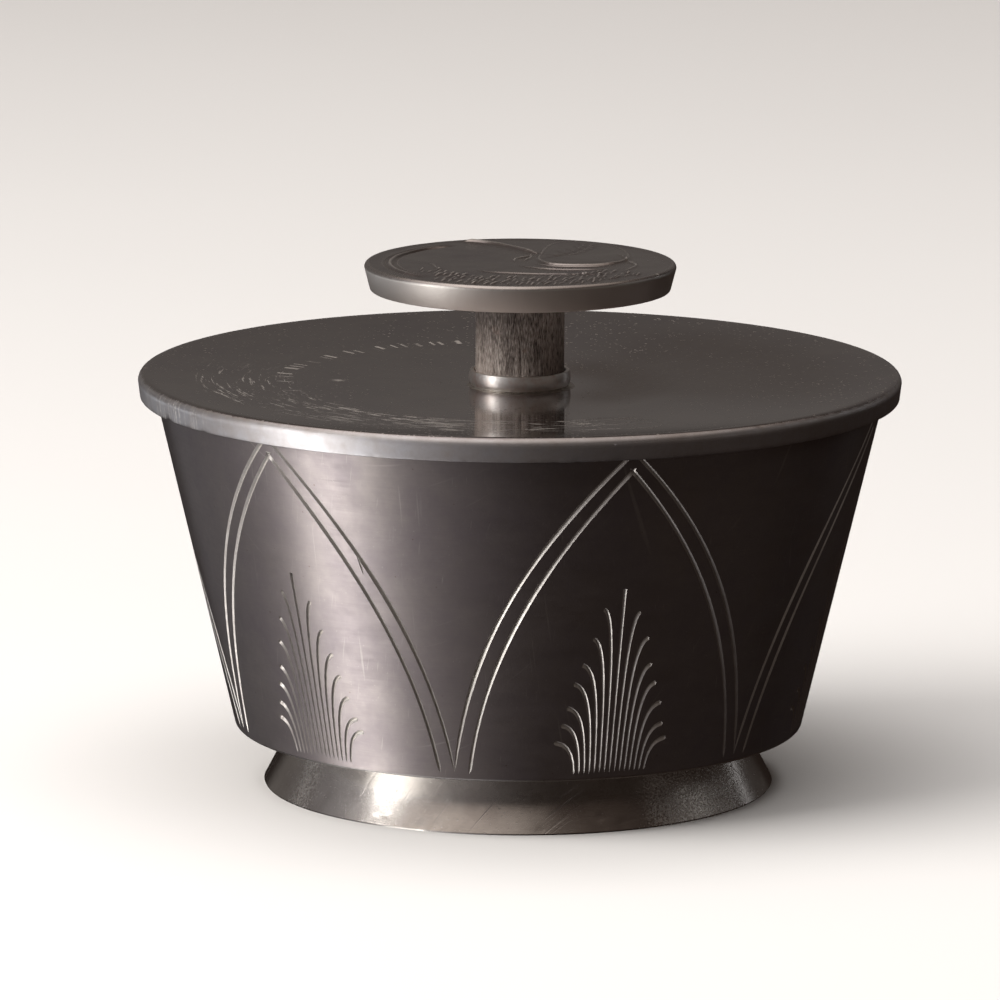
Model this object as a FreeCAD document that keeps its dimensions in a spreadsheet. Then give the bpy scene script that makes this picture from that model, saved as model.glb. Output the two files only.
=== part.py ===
"""Pewter sugar bowl with a lift-off lid: a conical bowl on a flared foot ring, and a dished
lid whose knob is a short wooden stem in a collar, topped by a wide metal disc.

Millimetres, +Z up. The origin is on the axis, in the plane that the foot ring stands on.
"""
import FreeCAD, Part
import os
import Sketcher

# Driving dimensions. Each row becomes one cell of the sheet, with its name as the alias.
DIMENSIONS = [
    ("foot_bottom_radius", 50.5, "outer radius of the foot ring where it stands"),
    ("foot_top_radius", 44.8, "outer radius of the foot ring under the bowl"),
    ("foot_height", 11.8, "height of the foot ring"),
    ("foot_thickness", 1.6, "thickness of the foot ring's sheet, measured level"),
    ("foot_edge_chamfer", 0.3, "bevel of the foot ring's outer lower edge"),
    ("bowl_bottom_radius", 56.0, "outer radius of the bowl at its bottom corner"),
    ("bowl_mouth_radius", 72.1, "outer radius of the bowl at its mouth"),
    ("bowl_depth", 68.2, "height of the bowl's wall"),
    ("bowl_thickness", 1.6, "thickness of the wall's sheet, measured level"),
    ("bowl_corner_fillet", 0.8, "rounding of the bottom corner"),
    ("bowl_lip_fillet", 0.5, "rounding of the two edges of the mouth"),
    ("floor_thickness", 1.8, "thickness of the floor disc"),
    ("lid_radius", 75.0, "outer radius of the lid"),
    ("lid_skirt_taper", 0.4, "how far the skirt draws in at its lower edge"),
    ("lid_skirt_drop", 2.66, "how far the skirt hangs below the bowl's mouth"),
    ("lid_skirt_thickness", 1.6, "thickness of the skirt"),
    ("lid_edge_height", 2.0, "height of the lid's edge above the bowl's mouth"),
    ("lid_edge_rounding", 1.5, "rounding of the lid's upper edge"),
    ("lid_dish_depth", 2.8, "how far the middle of the lid lies below its edge"),
    ("lid_sheet", 1.5, "thickness of the lid in its middle"),
    ("lid_flat_radius", 11.0, "radius of the flat middle that carries the knob"),
    ("lid_seat_radius", 66.0, "inner radius of the flat ring that rests on the mouth"),
    ("bezel_radius", 68.3, "outer radius of the locating ring under the lid"),
    ("bezel_thickness", 1.2, "thickness of the locating ring"),
    ("bezel_height", 6.6, "height of the locating ring"),
    ("bezel_edge_fillet", 0.4, "rounding of the locating ring's outer lower edge"),
    ("stem_radius", 8.75, "radius of the wooden stem"),
    ("stem_height", 19.15, "height of the wooden stem"),
    ("stem_edge_chamfer", 0.4, "chamfer of the stem's two end edges"),
    ("collar_gap", 0.25, "play between the stem and its collar"),
    ("collar_thickness", 1.0, "thickness of the collar's wall"),
    ("collar_height", 3.2, "height of the collar"),
    ("collar_bottom_fillet", 0.8, "rounding of the collar's outer edge at the lid"),
    ("collar_top_fillet", 0.35, "rounding of the collar's outer edge on top"),
    ("disc_bottom_radius", 29.5, "radius of the knob's disc underneath"),
    ("disc_top_radius", 30.6, "radius of the knob's disc on top"),
    ("disc_thickness", 5.3, "thickness of the knob's disc"),
    ("disc_top_fillet", 0.9, "rounding of the disc's upper edge"),
    ("disc_bottom_fillet", 0.3, "rounding of the disc's lower edge"),
    ("stud_radius", 2.0, "radius of the stud that holds the knob together"),
    ("stud_in_disc", 3.2, "how deep the stud goes into the disc"),
    ("stud_end", 1.0, "how far the stud shows below the nut"),
    ("stud_chamfer", 0.4, "chamfer of the stud's ends"),
    ("stud_clearance", 0.15, "play around the stud in the stem, lid and washer"),
    ("washer_radius", 4.5, "outer radius of the washer"),
    ("washer_thickness", 0.8, "thickness of the washer"),
    ("nut_flats", 7.0, "width of the nut across its flats"),
    ("nut_height", 3.2, "height of the nut"),
    ("nut_corner_drop", 0.35, "height of the bevel on the nut's corners"),
]

# Levels and radii that follow from the driving dimensions.
MOUTH_LEVEL = "Dims.foot_height + Dims.bowl_depth"
LID_TOP_LEVEL = MOUTH_LEVEL + " + Dims.lid_edge_height - Dims.lid_dish_depth"
LID_UNDER_LEVEL = LID_TOP_LEVEL + " - Dims.lid_sheet"
DISC_LEVEL = LID_TOP_LEVEL + " + Dims.stem_height"
BOWL_SLOPE = "((Dims.bowl_mouth_radius - Dims.bowl_bottom_radius) / Dims.bowl_depth)"
STUD_HOLE_RADIUS = "Dims.stud_radius + Dims.stud_clearance"
STUD_DROP = "Dims.lid_sheet + Dims.washer_thickness + Dims.nut_height + Dims.stud_end"

doc = FreeCAD.newDocument("sugar_bowl")


def make_sheet():
    """Write the driving dimensions into the document's sheet."""
    sheet = doc.addObject("Spreadsheet::Sheet", "Dims")
    for row, (alias, value, meaning) in enumerate(DIMENSIONS, start=1):
        sheet.set("A%d" % row, meaning)
        sheet.set("B%d" % row, str(value))
        sheet.setAlias("B%d" % row, alias)
    doc.recompute()
    return sheet


dims = make_sheet()


def value_of(expression):
    """Return what an expression over the sheet comes to, as a plain number."""
    return float(dims.evalExpression(expression))


def new_body(name, level="0"):
    """Start the body of one piece, with its own zero plane at the given level."""
    body = doc.addObject("PartDesign::Body", name)
    body.Label = name
    body.setExpression("Placement.Base.z", level)
    return body


def origin_plane(body, role):
    """Return one of the body's own origin planes."""
    return next(f for f in body.Origin.OriginFeatures if f.Role == role)


def add_arc(sketch, start, end, radius, side):
    """Add an arc from start to end, and return its index and the ids of its two ends.

    With side +1 the centre lies to the left of the way from start to end, with -1 to the right.
    """
    chord = end - start
    middle = (start + end) * 0.5
    left = FreeCAD.Vector(-chord.y, chord.x, 0).normalize()
    height = (radius ** 2 - (chord.Length / 2) ** 2) ** 0.5
    centre = middle + left * (side * height)
    on_arc = centre + (middle - centre).normalize() * radius
    arc = Part.Arc(start, on_arc, end)
    index = sketch.addGeometry(arc, False)
    first = sketch.getPoint(index, 1)
    if (first - start).Length < 1e-6:
        return index, 1, 2
    return index, 2, 1


def fix_point(sketch, index, end_id, corner):
    """Hold a sketch point at the radius and height that two expressions give."""
    for kind, axis, expression in (("DistanceX", -2, corner[0]), ("DistanceY", -1, corner[1])):
        if expression == "0":
            sketch.addConstraint(Sketcher.Constraint("PointOnObject", index, end_id, axis))
            continue
        held = Sketcher.Constraint(kind, -1, 1, index, end_id, value_of(expression))
        number = sketch.addConstraint(held)
        sketch.setExpression("Constraints[%d]" % number, expression)


def half_section(body, name, corners, arcs=None):
    """Sketch a closed half section, as radius and height expressions, in the XZ plane.

    arcs gives, for the number of a side, the radius of its arc and the side of its centre.
    """
    sketch = body.newObject("Sketcher::SketchObject", name)
    sketch.AttachmentSupport = [(origin_plane(body, "XZ_Plane"), "")]
    sketch.MapMode = "FlatFace"
    points = [FreeCAD.Vector(value_of(r), value_of(z), 0) for r, z in corners]
    sides = []
    for number, start in enumerate(points):
        end = points[(number + 1) % len(points)]
        if arcs and number in arcs:
            radius, side = arcs[number]
            sides.append(add_arc(sketch, start, end, value_of(radius), side))
        else:
            sides.append((sketch.addGeometry(Part.LineSegment(start, end), False), 1, 2))
    for number, (index, start_id, end_id) in enumerate(sides):
        after, after_start, after_end = sides[(number + 1) % len(sides)]
        sketch.addConstraint(Sketcher.Constraint("Coincident", index, end_id, after, after_start))
        fix_point(sketch, index, start_id, corners[number])
        if arcs and number in arcs:
            radius = arcs[number][0]
            held = sketch.addConstraint(Sketcher.Constraint("Radius", index, value_of(radius)))
            sketch.setExpression("Constraints[%d]" % held, radius)
    return sketch


def turn(body, name, corners, arcs=None, kind="PartDesign::Revolution"):
    """Turn a half section a full circle round the body's axis, adding it or cutting it away."""
    sketch = half_section(body, name + "_section", corners, arcs)
    feature = body.newObject(kind, name)
    feature.Profile = sketch
    feature.ReferenceAxis = (sketch, ["V_Axis"])
    feature.Angle = 360
    doc.recompute()
    return feature


def circles_at(feature, radius, height):
    """Name the feature's circular edges of the given radius and height."""
    names = []
    for number, edge in enumerate(feature.Shape.Edges, start=1):
        curve = edge.Curve
        if not isinstance(curve, Part.Circle):
            continue
        if abs(curve.Radius - radius) < 1e-3 and abs(curve.Center.z - height) < 1e-3:
            names.append("Edge%d" % number)
    return names


def dress_edge(body, kind, name, size, circles):
    """Round or bevel circular edges, each given as radius and height expressions."""
    base = body.Tip
    names = []
    for radius, height in circles:
        names += circles_at(base, value_of(radius), value_of(height))
    feature = body.newObject(kind, name)
    feature.Base = (base, names)
    feature.setExpression("Radius" if kind.endswith("Fillet") else "Size", size)
    doc.recompute()
    return feature


def bore(body, name, radius, depth):
    """Cut a round hole up the body's axis from its zero plane."""
    before = body.Shape.Volume
    hole = body.newObject("PartDesign::SubtractiveCylinder", name)
    hole.setExpression("Radius", radius)
    hole.setExpression("Height", depth)
    doc.recompute()
    if body.Shape.Volume >= before:
        raise RuntimeError(name + " cut nothing")
    return hole


def rod(body, name, radius, height):
    """Add a plain cylinder that stands on the body's zero plane."""
    cylinder = body.newObject("PartDesign::AdditiveCylinder", name)
    cylinder.setExpression("Radius", radius)
    cylinder.setExpression("Height", height)
    doc.recompute()
    return cylinder


def make_foot_ring():
    """The flared ring of sheet that the bowl stands on."""
    body = new_body("foot_ring")
    turn(body, "foot_wall", [
        ("Dims.foot_bottom_radius - Dims.foot_thickness", "0"),
        ("Dims.foot_bottom_radius", "0"),
        ("Dims.foot_top_radius", "Dims.foot_height"),
        ("Dims.foot_top_radius - Dims.foot_thickness", "Dims.foot_height")])
    dress_edge(body, "PartDesign::Chamfer", "foot_edge", "Dims.foot_edge_chamfer",
               [("Dims.foot_bottom_radius", "0")])
    return body


def make_bowl_wall():
    """The cone of sheet, rolled and soldered, that is the bowl's side."""
    body = new_body("bowl_wall", "Dims.foot_height")
    turn(body, "bowl_cone", [
        ("Dims.bowl_bottom_radius - Dims.bowl_thickness", "0"),
        ("Dims.bowl_bottom_radius", "0"),
        ("Dims.bowl_mouth_radius", "Dims.bowl_depth"),
        ("Dims.bowl_mouth_radius - Dims.bowl_thickness", "Dims.bowl_depth")])
    dress_edge(body, "PartDesign::Fillet", "bowl_corner", "Dims.bowl_corner_fillet",
               [("Dims.bowl_bottom_radius", "0")])
    dress_edge(body, "PartDesign::Fillet", "bowl_lip", "Dims.bowl_lip_fillet", [
        ("Dims.bowl_mouth_radius", "Dims.bowl_depth"),
        ("Dims.bowl_mouth_radius - Dims.bowl_thickness", "Dims.bowl_depth")])
    return body


def make_bowl_floor():
    """The disc soldered inside the bottom of the wall, its edge sloped as the wall is."""
    body = new_body("bowl_floor", "Dims.foot_height")
    under = "Dims.bowl_bottom_radius - Dims.bowl_thickness"
    turn(body, "floor_disc", [
        ("0", "0"),
        (under, "0"),
        (under + " + Dims.floor_thickness * " + BOWL_SLOPE, "Dims.floor_thickness"),
        ("0", "Dims.floor_thickness")])
    return body


def make_lid_shell():
    """The dished lid with its turned-down skirt, bored for the knob's stud.

    Zero is the plane of the bowl's mouth. The dish is one arc above and one below, each level
    where it leaves the flat middle, so its radius follows from its depth and its width.
    """
    body = new_body("lid_shell", MOUTH_LEVEL)
    centre_top = "(Dims.lid_edge_height - Dims.lid_dish_depth)"
    centre_under = "(Dims.lid_edge_height - Dims.lid_dish_depth - Dims.lid_sheet)"
    brink = "(Dims.lid_radius - Dims.lid_edge_rounding)"
    upper_width = "(" + brink + " - Dims.lid_flat_radius)"
    lower_width = "(Dims.lid_seat_radius - Dims.lid_flat_radius)"
    arc_radius = "({0}^2 + {1}^2) / (2 * {1})"
    upper_arc = arc_radius.format(upper_width, "Dims.lid_dish_depth")
    lower_arc = arc_radius.format(lower_width, "(-" + centre_under + ")")
    skirt_inside = "Dims.lid_radius - Dims.lid_skirt_thickness"
    turn(body, "lid_dish", [
        ("0", centre_under),
        ("Dims.lid_flat_radius", centre_under),
        ("Dims.lid_seat_radius", "0"),
        (skirt_inside, "0"),
        (skirt_inside + " - Dims.lid_skirt_taper", "-Dims.lid_skirt_drop"),
        ("Dims.lid_radius - Dims.lid_skirt_taper", "-Dims.lid_skirt_drop"),
        ("Dims.lid_radius", "Dims.lid_edge_height - Dims.lid_edge_rounding"),
        (brink, "Dims.lid_edge_height"),
        ("Dims.lid_flat_radius", centre_top),
        ("0", centre_top)],
        arcs={1: (lower_arc, 1), 6: ("Dims.lid_edge_rounding", 1), 7: (upper_arc, -1)})
    before = body.Shape.Volume
    hole = turn(body, "stud_hole", [
        ("0", centre_under),
        (STUD_HOLE_RADIUS, centre_under),
        (STUD_HOLE_RADIUS, centre_top),
        ("0", centre_top)], kind="PartDesign::Groove")
    if hole.Shape.Volume >= before:
        raise RuntimeError("the stud hole cut nothing")
    return body


def make_lid_bezel():
    """The ring soldered under the lid that keeps it centred in the mouth."""
    body = new_body("lid_bezel", MOUTH_LEVEL + " - Dims.bezel_height")
    turn(body, "bezel_strip", [
        ("Dims.bezel_radius - Dims.bezel_thickness", "0"),
        ("Dims.bezel_radius", "0"),
        ("Dims.bezel_radius", "Dims.bezel_height"),
        ("Dims.bezel_radius - Dims.bezel_thickness", "Dims.bezel_height")])
    dress_edge(body, "PartDesign::Fillet", "bezel_edge", "Dims.bezel_edge_fillet",
               [("Dims.bezel_radius", "0")])
    return body


def make_knob_collar():
    """The round-edged metal collar that the foot of the wooden stem stands in."""
    body = new_body("knob_collar", LID_TOP_LEVEL)
    inside = "Dims.stem_radius + Dims.collar_gap"
    outside = inside + " + Dims.collar_thickness"
    turn(body, "collar_ring", [
        (inside, "0"),
        (outside, "0"),
        (outside, "Dims.collar_height"),
        (inside, "Dims.collar_height")])
    dress_edge(body, "PartDesign::Fillet", "collar_lower_edge", "Dims.collar_bottom_fillet",
               [(outside, "0")])
    dress_edge(body, "PartDesign::Fillet", "collar_upper_edge", "Dims.collar_top_fillet",
               [(outside, "Dims.collar_height")])
    return body


def make_knob_stem():
    """The turned wooden stem, bored right through for the stud."""
    body = new_body("knob_stem", LID_TOP_LEVEL)
    rod(body, "stem_rod", "Dims.stem_radius", "Dims.stem_height")
    bore(body, "stem_bore", STUD_HOLE_RADIUS, "Dims.stem_height")
    dress_edge(body, "PartDesign::Chamfer", "stem_ends", "Dims.stem_edge_chamfer", [
        ("Dims.stem_radius", "0"),
        ("Dims.stem_radius", "Dims.stem_height")])
    return body


def make_knob_disc():
    """The wide cast disc on top, with a blind hole below that takes the stud."""
    body = new_body("knob_disc", DISC_LEVEL)
    turn(body, "disc_blank", [
        ("0", "0"),
        ("Dims.disc_bottom_radius", "0"),
        ("Dims.disc_top_radius", "Dims.disc_thickness"),
        ("0", "Dims.disc_thickness")])
    bore(body, "disc_socket", "Dims.stud_radius", "Dims.stud_in_disc")
    dress_edge(body, "PartDesign::Fillet", "disc_upper_edge", "Dims.disc_top_fillet",
               [("Dims.disc_top_radius", "Dims.disc_thickness")])
    dress_edge(body, "PartDesign::Fillet", "disc_lower_edge", "Dims.disc_bottom_fillet",
               [("Dims.disc_bottom_radius", "0")])
    return body


def make_knob_stud():
    """The stud soldered into the disc, which runs through the stem and the lid."""
    body = new_body("knob_stud", LID_TOP_LEVEL + " - (" + STUD_DROP + ")")
    length = STUD_DROP + " + Dims.stem_height + Dims.stud_in_disc"
    rod(body, "stud_rod", "Dims.stud_radius", length)
    dress_edge(body, "PartDesign::Chamfer", "stud_tip", "Dims.stud_chamfer",
               [("Dims.stud_radius", "0")])
    return body


def make_knob_washer():
    """The washer between the nut and the underside of the lid."""
    body = new_body("knob_washer", LID_UNDER_LEVEL + " - Dims.washer_thickness")
    rod(body, "washer_blank", "Dims.washer_radius", "Dims.washer_thickness")
    bore(body, "washer_hole", STUD_HOLE_RADIUS, "Dims.washer_thickness")
    return body


def make_knob_nut():
    """The six-sided nut under the lid, its corners bevelled above and below."""
    body = new_body("knob_nut", LID_UNDER_LEVEL + " - Dims.washer_thickness - Dims.nut_height")
    corner = "Dims.nut_flats / (2 * cos(30 deg))"
    prism = body.newObject("PartDesign::AdditivePrism", "nut_blank")
    prism.Polygon = 6
    prism.setExpression("Circumradius", corner)
    prism.setExpression("Height", "Dims.nut_height")
    doc.recompute()
    bore(body, "nut_bore", "Dims.stud_radius", "Dims.nut_height")
    outside = corner + " + Dims.nut_corner_drop"
    slope = "(Dims.nut_corner_drop / (" + corner + " - Dims.nut_flats / 2))"
    reach = "(" + slope + " * (" + outside + " - Dims.nut_flats / 2))"
    turn(body, "nut_lower_bevel", [
        ("Dims.nut_flats / 2", "0"),
        (outside, "0"),
        (outside, reach)], kind="PartDesign::Groove")
    turn(body, "nut_upper_bevel", [
        ("Dims.nut_flats / 2", "Dims.nut_height"),
        (outside, "Dims.nut_height"),
        (outside, "Dims.nut_height - " + reach)], kind="PartDesign::Groove")
    return body


def check_document(bodies):
    """Stop if any object failed to compute or any piece is not one valid solid."""
    for item in doc.Objects:
        if "Invalid" in item.State or "Error" in item.State:
            raise RuntimeError("%s did not compute: %s" % (item.Name, item.State))
    for body in bodies:
        shape = body.Shape
        if shape.isNull() or not shape.isValid():
            raise RuntimeError("%s has no valid shape" % body.Label)
        if len(shape.Solids) != 1:
            raise RuntimeError("%s has %d solids" % (body.Label, len(shape.Solids)))


def export(bodies):
    """Write each piece to a file of its own and print its size."""
    os.makedirs("parts", exist_ok=True)
    for body in bodies:
        body.Shape.exportStep("parts/%s.step" % body.Label)
        box = body.Shape.BoundBox
        print("%-12s %8.1f mm3  z %.2f to %.2f" % (body.Label, body.Shape.Volume, box.ZMin, box.ZMax))


pieces = [
    make_foot_ring(),
    make_bowl_wall(),
    make_bowl_floor(),
    make_lid_shell(),
    make_lid_bezel(),
    make_knob_collar(),
    make_knob_stem(),
    make_knob_disc(),
    make_knob_stud(),
    make_knob_washer(),
    make_knob_nut(),
]
doc.recompute()
check_document(pieces)
export(pieces)
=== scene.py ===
"""Looks of a pewter sugar bowl: engraved wall, dished lid, cast disc knob on a wooden stem.

Outlines and sizes are worked in millimetres on the bowl's own axis, +Z up and the front at -Y,
and become metres where a mesh is made. Angles go round from the front towards +X, in degrees.
"""

import math

import bpy
import numpy as np
from bpy.props import FloatProperty, FloatVectorProperty, IntProperty, PointerProperty
from mathutils import Matrix, Vector
from mathutils.geometry import delaunay_2d_cdt
from mathutils.kdtree import KDTree


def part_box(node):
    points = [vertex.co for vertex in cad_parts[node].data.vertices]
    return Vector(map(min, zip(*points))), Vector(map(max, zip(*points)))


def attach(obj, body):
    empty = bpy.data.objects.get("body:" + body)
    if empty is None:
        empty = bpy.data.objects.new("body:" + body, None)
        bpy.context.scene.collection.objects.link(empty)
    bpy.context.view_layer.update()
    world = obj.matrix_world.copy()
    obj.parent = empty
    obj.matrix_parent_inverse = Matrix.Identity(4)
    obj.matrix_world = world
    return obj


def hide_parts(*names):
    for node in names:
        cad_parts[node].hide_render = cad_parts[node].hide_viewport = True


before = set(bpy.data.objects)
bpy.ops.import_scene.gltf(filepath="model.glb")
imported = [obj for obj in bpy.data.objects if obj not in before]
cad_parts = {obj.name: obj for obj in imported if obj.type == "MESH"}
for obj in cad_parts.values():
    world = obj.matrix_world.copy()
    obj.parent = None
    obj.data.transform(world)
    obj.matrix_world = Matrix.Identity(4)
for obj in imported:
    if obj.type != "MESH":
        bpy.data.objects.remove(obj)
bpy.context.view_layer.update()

bl_info = {
    "name": "Pewter sugar bowl",
    "version": (1, 0, 0),
    "blender": (4, 5, 0),
    "location": "3D View > Sidebar > Sugar bowl",
    "description": "Builds the looks of a pewter sugar bowl with an engraved wall and a knobbed lid",
    "category": "Add Mesh",
}

MM = 0.001
KEY_SIDE = -67.0    # where the main light stands, in degrees from the front
FULL_RELIEF = 0.75  # height above the ground that the disc's relief is drawn to


def level(node, top):
    """Height of the bottom or the top of a CAD node, in millimetres."""
    low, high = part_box(node)
    return round((high if top else low).z / MM, 3)


FOOT_TOP = level("foot_ring", True)
MOUTH = level("bowl_wall", True)
FLOOR_TOP = level("bowl_floor", True)
SKIRT_END = level("lid_shell", False)
LID_BRINK = level("lid_shell", True)
LID_RADIUS = round(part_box("lid_shell")[1].x / MM, 3)
LID_MIDDLE = level("knob_collar", False)
COLLAR_TOP = level("knob_collar", True)
DISC_UNDER = level("knob_disc", False)
DISC_TOP = level("knob_disc", True)
STUD_END = level("knob_stud", False)
STUD_TOP = level("knob_stud", True)


# ---------------------------------------------------------------------------------------------
# Sizes and colours that a user may change
# ---------------------------------------------------------------------------------------------

def length(name, millimetres, meaning):
    """A length property, given in millimetres."""
    return FloatProperty(name=name, description=meaning, default=millimetres * MM, min=0.0,
                         precision=5, unit="LENGTH", subtype="DISTANCE")


def colour(name, red, green, blue, meaning):
    """A colour property, in scene linear values."""
    return FloatVectorProperty(name=name, description=meaning, default=(red, green, blue),
                               size=3, min=0.0, max=1.0, subtype="COLOR")


class BowlSizes(bpy.types.PropertyGroup):
    """Sizes of the bowl's wall, its engraving and its foot."""
    bottom_radius: length("Bottom radius", 56.0, "Outer radius of the wall at its bottom")
    mouth_radius: length("Mouth radius", 72.1, "Outer radius of the wall at its mouth")
    sheet: length("Sheet", 1.6, "Thickness of the wall's sheet, measured level")
    corner: length("Bottom corner", 0.8, "Rounding of the wall's bottom corner")
    lip: length("Lip", 0.5, "Rounding of the two edges of the mouth")
    arches: IntProperty(name="Arches", description="Engraved arches round the wall",
                        default=6, min=3, max=12)
    first_arch: FloatProperty(name="First arch", description="Where the first arch stands",
                              default=math.radians(17.7), unit="ROTATION", subtype="ANGLE")
    line_width: length("Line width", 0.86, "Width of the arches' two engraved lines")
    line_depth: length("Line depth", 0.34, "Depth of the arches' two engraved lines")
    strokes: IntProperty(name="Strokes", description="Strokes on each side of a spray",
                         default=7, min=1, max=12)
    stroke_width: length("Stroke width", 0.78, "Width of a spray's strokes near their tips")
    stroke_depth: length("Stroke depth", 0.38, "Depth of a spray's strokes near their tips")
    foot_radius: length("Foot radius", 50.5, "Outer radius of the foot ring where it stands")
    foot_neck: length("Foot neck", 44.8, "Outer radius of the foot ring under the bowl")
    foot_sheet: length("Foot sheet", 1.6, "Thickness of the foot ring's sheet, measured level")
    foot_edge: length("Foot edge", 0.3, "Bevel of the foot ring's lower edge")
    foot_hollow: length("Foot hollow", 0.20, "How far the foot ring's face is hollowed")


class LidSizes(bpy.types.PropertyGroup):
    """Sizes of the lid and of what is soldered or screwed to it."""
    radius: length("Radius", 75.0, "Outer radius of the lid")
    taper: length("Skirt taper", 0.4, "How far the skirt draws in at its lower edge")
    skirt: length("Skirt sheet", 1.6, "Thickness of the skirt")
    rounding: length("Edge rounding", 1.5, "Rounding of the lid's upper edge")
    sheet: length("Sheet", 1.5, "Thickness of the lid in its middle")
    flat: length("Flat middle", 11.0, "Radius of the flat middle that carries the knob")
    seat: length("Seat", 66.0, "Inner radius of the flat ring that rests on the mouth")
    hole: length("Stud hole", 2.15, "Radius of the hole for the stud")
    bezel: length("Bezel radius", 68.3, "Outer radius of the locating ring")
    bezel_sheet: length("Bezel sheet", 1.2, "Thickness of the locating ring")


class KnobSizes(bpy.types.PropertyGroup):
    """Sizes of the knob's disc, stem and stud."""
    disc_under: length("Disc radius below", 29.5, "Radius of the disc underneath")
    disc_over: length("Disc radius above", 30.6, "Radius of the disc on top")
    disc_edge: length("Disc upper edge", 0.9, "Rounding of the disc's upper edge")
    disc_low_edge: length("Disc lower edge", 0.3, "Rounding of the disc's lower edge")
    relief: length("Relief", 0.75, "Greatest height of the cast relief above its ground")
    ground: length("Ground", 0.15, "How far the relief's ground is sunk below the disc's edge")
    stem: length("Stem radius", 8.75, "Radius of the wooden stem")
    stem_edge: length("Stem edge", 0.4, "Chamfer of the stem's two ends")
    grain: length("Grain depth", 0.10, "Depth of the open grain in the stem")
    collar: length("Collar radius", 10.0, "Outer radius of the collar")
    collar_sheet: length("Collar sheet", 1.0, "Thickness of the collar's wall")
    collar_barrel: length("Collar barrel", 0.28, "How far the collar's wall swells")
    stud: length("Stud radius", 2.0, "Outer radius of the stud's thread")
    thread_pitch: length("Thread pitch", 0.7, "Pitch of the stud's thread")
    socket: length("Socket depth", 3.2, "How deep the stud goes into the disc")


class FinishColours(bpy.types.PropertyGroup):
    """Colours of the metals, the wood and the floor it stands on."""
    pewter: colour("Pewter", 0.50, 0.455, 0.43, "Clean satin pewter")
    tarnish: colour("Tarnish", 0.36, 0.32, 0.335, "Pewter darkened by age")
    bright: colour("Bright pewter", 0.78, 0.75, 0.71, "Polished or freshly cut pewter")
    # Also laid as painted highlight: on the wall's bottom corner, along the disc's raised ridges and
    # on a streak on the lid.
    glint: colour("Glint", 0.92, 0.90, 0.87, "Metal laid bare by a fresh cut or a knock")
    solder: colour("Solder", 0.66, 0.64, 0.60, "Soft solder at the seams")
    # Warm brown: a real warm tone in the stem's wood, and on the collar a painted reflection of warm
    # lamps, not a heat stain.
    heat: colour("Heat stain", 0.55, 0.33, 0.24, "Brown left by the heat of soldering")
    # Real brown stain in pits, hollows and tarnish, and also laid on the lid as painted shadow
    # beside the collar and the knob.
    stain: colour("Brown stain", 0.16, 0.085, 0.05, "Brown film that lies in corners")
    dust: colour("Dust", 0.75, 0.72, 0.67, "Pale specks in the metal's pores")
    wood: colour("Wood", 0.30, 0.250, 0.222, "Dark stained wood of the stem")
    wood_worn: colour("Worn wood", 0.56, 0.50, 0.455, "High fibres of the wood, worn grey")
    wood_pores: colour("Wood pores", 0.018, 0.012, 0.010, "Pores and cracks of the wood")
    brass: colour("Brass", 0.62, 0.44, 0.20, "Stud, nut and washer")
    ground: colour("Floor", 0.60, 0.59, 0.58, "Plain floor of the stage")


# ---------------------------------------------------------------------------------------------
# Outlines, in the plane of radius and height
# ---------------------------------------------------------------------------------------------

def between(start, end, count):
    """Evenly spaced points from start to end, without the end."""
    steps = np.linspace(0.0, 1.0, count, endpoint=False)
    return [tuple(np.add(start, np.subtract(end, start) * t)) for t in steps]


def arc(centre, radius, start, end, count):
    """Points on an arc from one angle to another, in degrees, both ends included."""
    turns = np.radians(np.linspace(start, end, count))
    return [(centre[0] + radius * math.cos(t), centre[1] + radius * math.sin(t)) for t in turns]


def rounded(corners, steps=6, closed=True):
    """An outline through corners (radius, height, rounding), with an arc at each rounded one."""
    outline = []
    for k, (x, y, rounding) in enumerate(corners):
        here = Vector((x, y))
        if rounding <= 0.0 or (not closed and k in (0, len(corners) - 1)):
            outline.append((x, y))
            continue
        back = (Vector(corners[k - 1][:2]) - here).normalized()
        ahead = (Vector(corners[(k + 1) % len(corners)][:2]) - here).normalized()
        half = back.angle(ahead) / 2
        centre = here + (back + ahead).normalized() * (rounding / math.sin(half))
        reach = rounding / math.tan(half)
        first = here + back * reach - centre
        last = here + ahead * reach - centre
        sweep = first.angle_signed(last)
        for step in range(steps + 1):
            spoke = first.copy()
            spoke.rotate(Matrix.Rotation(-sweep * step / steps, 2))
            outline.append(tuple(centre + spoke))
    return outline


def lathe(outline, segments, closed=True, first=0.0, wobble=None):
    """Points and faces of an outline turned round Z, starting at an angle in degrees.

    Points of the outline on the axis become single points. wobble takes arrays of angle, radius
    and height, and returns the two shifts of radius and height.
    """
    turns = np.radians(first) + np.linspace(0.0, 2 * np.pi, segments, endpoint=False)
    rows = []
    points = []
    for radius, height in outline:
        if radius < 1e-6:
            rows.append([len(points)] * segments)
            points.append((0.0, 0.0, height))
            continue
        radii = np.full(segments, radius)
        heights = np.full(segments, height)
        if wobble:
            out, up = wobble(turns, radii, heights)
            radii = radii + out
            heights = heights + up
        rows.append(list(range(len(points), len(points) + segments)))
        ring = np.stack([radii * np.sin(turns), -radii * np.cos(turns), heights], -1)
        points.extend(map(tuple, ring))
    faces = []
    pairs = list(zip(rows, rows[1:]))
    if closed:
        pairs.append((rows[-1], rows[0]))
    for low, high in pairs:
        for k in range(segments):
            after = (k + 1) % segments
            corners = [low[k], low[after], high[after], high[k]]
            face = list(dict.fromkeys(corners))
            if len(face) > 2:
                faces.append(face)
    return points, faces


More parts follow.
